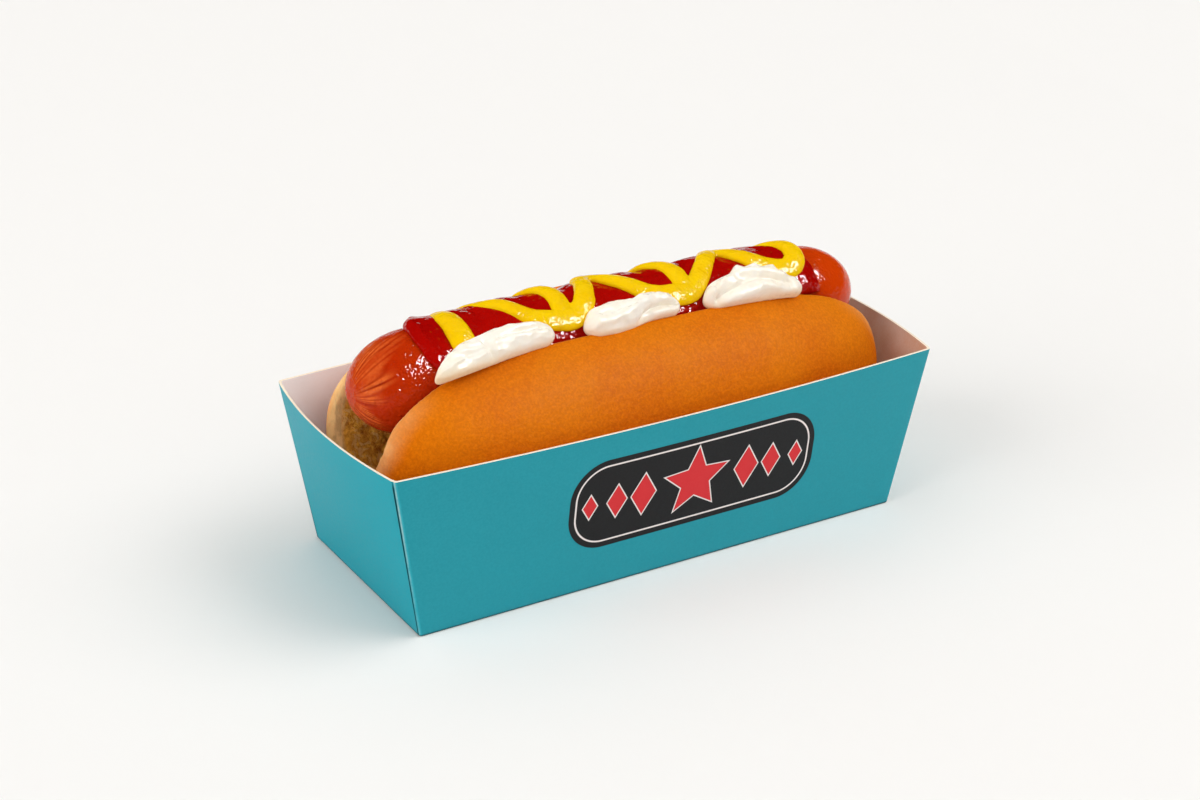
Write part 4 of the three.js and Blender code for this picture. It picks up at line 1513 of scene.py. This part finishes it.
def dollop_mesh(name, dollop):
    """A dollop with its folds, as one closed skin round the groove's line."""
    m = MAYONNAISE
    groove = GROOVE_FOOT - GROOVE_TOP
    out = Vector((groove.y, -groove.x)).normalized()
    along_steps, round_steps = m.steps
    rows = smooth_rows(stations(dollop["stations"], along_steps), m.rounds)
    x, high, low, crown = rows.T
    left_tip, right_tip = dollop["tips"]
    reach = np.clip(np.minimum((x - x[0]) / left_tip, (x[-1] - x) / right_tip), 0, 1)
    shrink = np.sqrt(np.clip(1 - (1 - reach) ** 2, m.least_tip, 1))[:, None]
    turn = np.linspace(0, math.tau, round_steps, endpoint=False)[None, :]
    middle, half = ((high + low) / 2)[:, None], ((low - high) / 2)[:, None]
    share = middle + half * shrink * np.cos(turn)
    bulge = signed_power(np.sin(turn), m.fullness)
    lift = shrink * np.where(bulge > 0, crown[:, None] * MM * bulge, m.belly * bulge)
    wide_x = np.broadcast_to(x[:, None], share.shape)
    across = share * groove.length / MM
    folds = sum(fold_relief(fold, wide_x, across) for fold in dollop["folds"])
    relief = folds * m.fold_strength * MM
    relief = relief + m.ripple * (ripple_relief(wide_x, across) - m.ripple_middle)
    relief = relief * np.clip(bulge * m.relief_rise, 0, 1) * shrink
    tilt = np.arctan2(np.maximum(lift, 0), (share - middle) * groove.length + TINY)
    share = share + relief * np.cos(tilt) / groove.length
    lift = lift + relief * np.sin(tilt)
    y = GROOVE_TOP.x + groove.x * share + out.x * lift
    z = GROOVE_TOP.y + groove.y * share + out.y * lift
    points = np.stack([wide_x * MM, y, z], -1)
    rings, sides = share.shape
    faces = [(r * sides + c, r * sides + (c + 1) % sides, (r + 1) * sides + (c + 1) % sides,
              (r + 1) * sides + c) for r in range(rings - 1) for c in range(sides)]
    faces.append(tuple(range(sides)))
    faces.append(tuple((rings - 1) * sides + c for c in range(sides)))
    return mesh_object(name, points.reshape(-1, 3), faces)


class HOTDOG_OT_mayonnaise(bpy.types.Operator):
    """Drop the three dollops of mayonnaise"""

    bl_idname = "hotdog.make_mayonnaise"
    bl_label = "Mayonnaise"

    def execute(self, context):
        sauces = context.scene.hotdog.sauces
        finish, _, _ = wet_food("mayonnaise", sauces.mayonnaise_colour, sauces.mayonnaise_deep)
        solids = [bpy.data.objects[name]
                  for name in ("split_roll", "frankfurter", "ketchup_layer", "mustard_bead")]
        for number, dollop in enumerate(DOLLOPS, 1):
            made = dollop_mesh(f"dollop_{number}", dollop)
            carve(made, *solids)
            finish_piece(made, finish.material, f"mayonnaise_{number}", CUT_ANGLE)
        return {"FINISHED"}


# ---------- Floor, light and camera ----------

TARGET = Vector((10.5, 22.2, 25)) * MM
FLOOR = SimpleNamespace(
    half=4.0, roughness=0.6, specular=0.03, cloud=(3.0, 2.0, 0.5), cloud_share=0.12,
    cloud_tint=0.96,
)
# Lights: bearing and height from the target in degrees, strength, and the angle that each fills.
PANELS = [
    ("right panel", 62, 50, 1.02, 46),
    ("left panel", -88, 22, 1.5, 50),
    ("back panel", 165, 62, 0.38, 60),
    ("front panel", 10, 42, 0.15, 44),
]
# The softboxes that only make the crisp highlights: bearing, height, size in metres and brightness.
SOFTBOXES = [
    ("key softbox", 30, 47, (0.56, 0.34), 110.0),
    ("right softbox", 82, 43, (0.08, 0.06), 34.0),
]
SOFTBOX_DISTANCE = 0.95
WORLD_COLOUR = (1.0, 0.98, 0.955, 1)
WORLD_STRENGTH = 0.52
SENSOR_WIDTH = 36
CLIP_START, CLIP_END = 0.01, 50


def bearing(azimuth, elevation):
    """The direction towards a place seen at that bearing, 0 in front, and height, in degrees."""
    turn, lift = math.radians(azimuth), math.radians(elevation)
    return Vector((math.sin(turn) * math.cos(lift), -math.cos(turn) * math.cos(lift),
                   math.sin(lift)))


def camera_matrix(settings):
    """The camera's turn and place from its bearing, height, roll and distance."""
    back = bearing(settings.azimuth, settings.elevation)
    roll = math.radians(settings.roll)
    right = Vector((0, 0, 1)).cross(back).normalized()
    up = back.cross(right)
    tilted_right = right * math.cos(roll) + up * math.sin(roll)
    tilted_up = up * math.cos(roll) - right * math.sin(roll)
    turn = Matrix((tilted_right, tilted_up, back)).transposed().to_4x4()
    return Matrix.Translation(TARGET + back * settings.distance) @ turn


def placed(scene, name, data):
    """A new light or camera in the scene."""
    made = bpy.data.objects.new(name, data)
    scene.collection.objects.link(made)
    return made


def lamp(scene, name, kind, azimuth, elevation, energy):
    """A light that shines on the target from that bearing and height."""
    light = bpy.data.lights.new(name, kind)
    light.energy = energy
    made = placed(scene, name, light)
    back = bearing(azimuth, elevation)
    made.location = TARGET + back * SOFTBOX_DISTANCE
    made.rotation_euler = back.to_track_quat("Z", "Y").to_euler()
    return made, light


class HOTDOG_OT_stage(bpy.types.Operator):
    """Set the pale floor, the soft light and the camera"""

    bl_idname = "hotdog.make_stage"
    bl_label = "Stage"

    def execute(self, context):
        scene = context.scene
        settings = scene.hotdog.stage
        half = FLOOR.half
        floor = mesh_object("floor", [(-half, -half, 0), (half, -half, 0), (half, half, 0),
                                      (-half, half, 0)], [(0, 1, 2, 3)])
        finish = Finish("pale floor", {"Roughness": FLOOR.roughness,
                                       "Specular IOR Level": FLOOR.specular})
        cloud = finish.noise(*FLOOR.cloud) * FLOOR.cloud_share
        finish.colour(finish.mix(cloud, settings.floor_colour,
                                 tint(settings.floor_colour, FLOOR.cloud_tint)))
        floor.data.materials.append(finish.material)
        floor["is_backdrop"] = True

        for name, azimuth, elevation, strength, angle in PANELS:
            panel, light = lamp(scene, name, "SUN", azimuth, elevation, strength)
            light.angle = math.radians(angle)
            panel.visible_glossy = False
        for name, azimuth, elevation, size, brightness in SOFTBOXES:
            energy = brightness * math.pi * size[0] * size[1]
            softbox, light = lamp(scene, name, "AREA", azimuth, elevation, energy)
            light.shape = "RECTANGLE"
            light.size, light.size_y = size
            softbox.visible_diffuse = False

        world = bpy.data.worlds.new("studio")
        scene.world = world
        world.use_nodes = True
        sky = world.node_tree.nodes["Background"]
        sky.inputs["Color"].default_value = WORLD_COLOUR
        sky.inputs["Strength"].default_value = WORLD_STRENGTH
        world.cycles_visibility.glossy = False
        scene.view_settings.view_transform = "Standard"

        data = bpy.data.cameras.new("camera")
        data.sensor_width = SENSOR_WIDTH
        data.lens = settings.lens
        data.clip_start, data.clip_end = CLIP_START, CLIP_END
        camera = placed(scene, "camera", data)
        camera.matrix_world = camera_matrix(settings)
        scene.camera = camera
        return {"FINISHED"}


# ---------- Add-on ----------

OPERATORS = (HOTDOG_OT_tray, HOTDOG_OT_bun, HOTDOG_OT_sausage, HOTDOG_OT_ketchup,
             HOTDOG_OT_mustard, HOTDOG_OT_mayonnaise, HOTDOG_OT_stage)


class HOTDOG_PT_panel(bpy.types.Panel):
    """Lists the hot dog's pieces"""

    bl_idname = "HOTDOG_PT_panel"
    bl_label = "Hot Dog"
    bl_space_type = "VIEW_3D"
    bl_region_type = "UI"
    bl_category = "Hot Dog"

    def draw(self, context):
        for operator in OPERATORS:
            self.layout.operator(operator.bl_idname)


CLASSES = (TraySettings, BunSettings, SausageSettings, SauceSettings, StageSettings,
           HotDogSettings, *OPERATORS, HOTDOG_PT_panel)


def register():
    for cls in CLASSES:
        bpy.utils.register_class(cls)
    bpy.types.Scene.hotdog = PointerProperty(type=HotDogSettings)


def unregister():
    del bpy.types.Scene.hotdog
    for cls in reversed(CLASSES):
        bpy.utils.unregister_class(cls)


def write_sizes():
    """Gathers the CAD box and the visual model's box, and does nothing with them."""
    boxes = {"cad": CAD_BOX, "visual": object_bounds()}
    {name: [list(corner) for corner in box] for name, box in boxes.items()}


def main():
    register()
    bpy.ops.hotdog.make_tray()
    bpy.ops.hotdog.make_bun()
    bpy.ops.hotdog.make_sausage()
    bpy.ops.hotdog.make_ketchup()
    bpy.ops.hotdog.make_mustard()
    bpy.ops.hotdog.make_mayonnaise()
    bpy.ops.hotdog.make_stage()
    write_sizes()


if __name__ == "__main__":
    main()
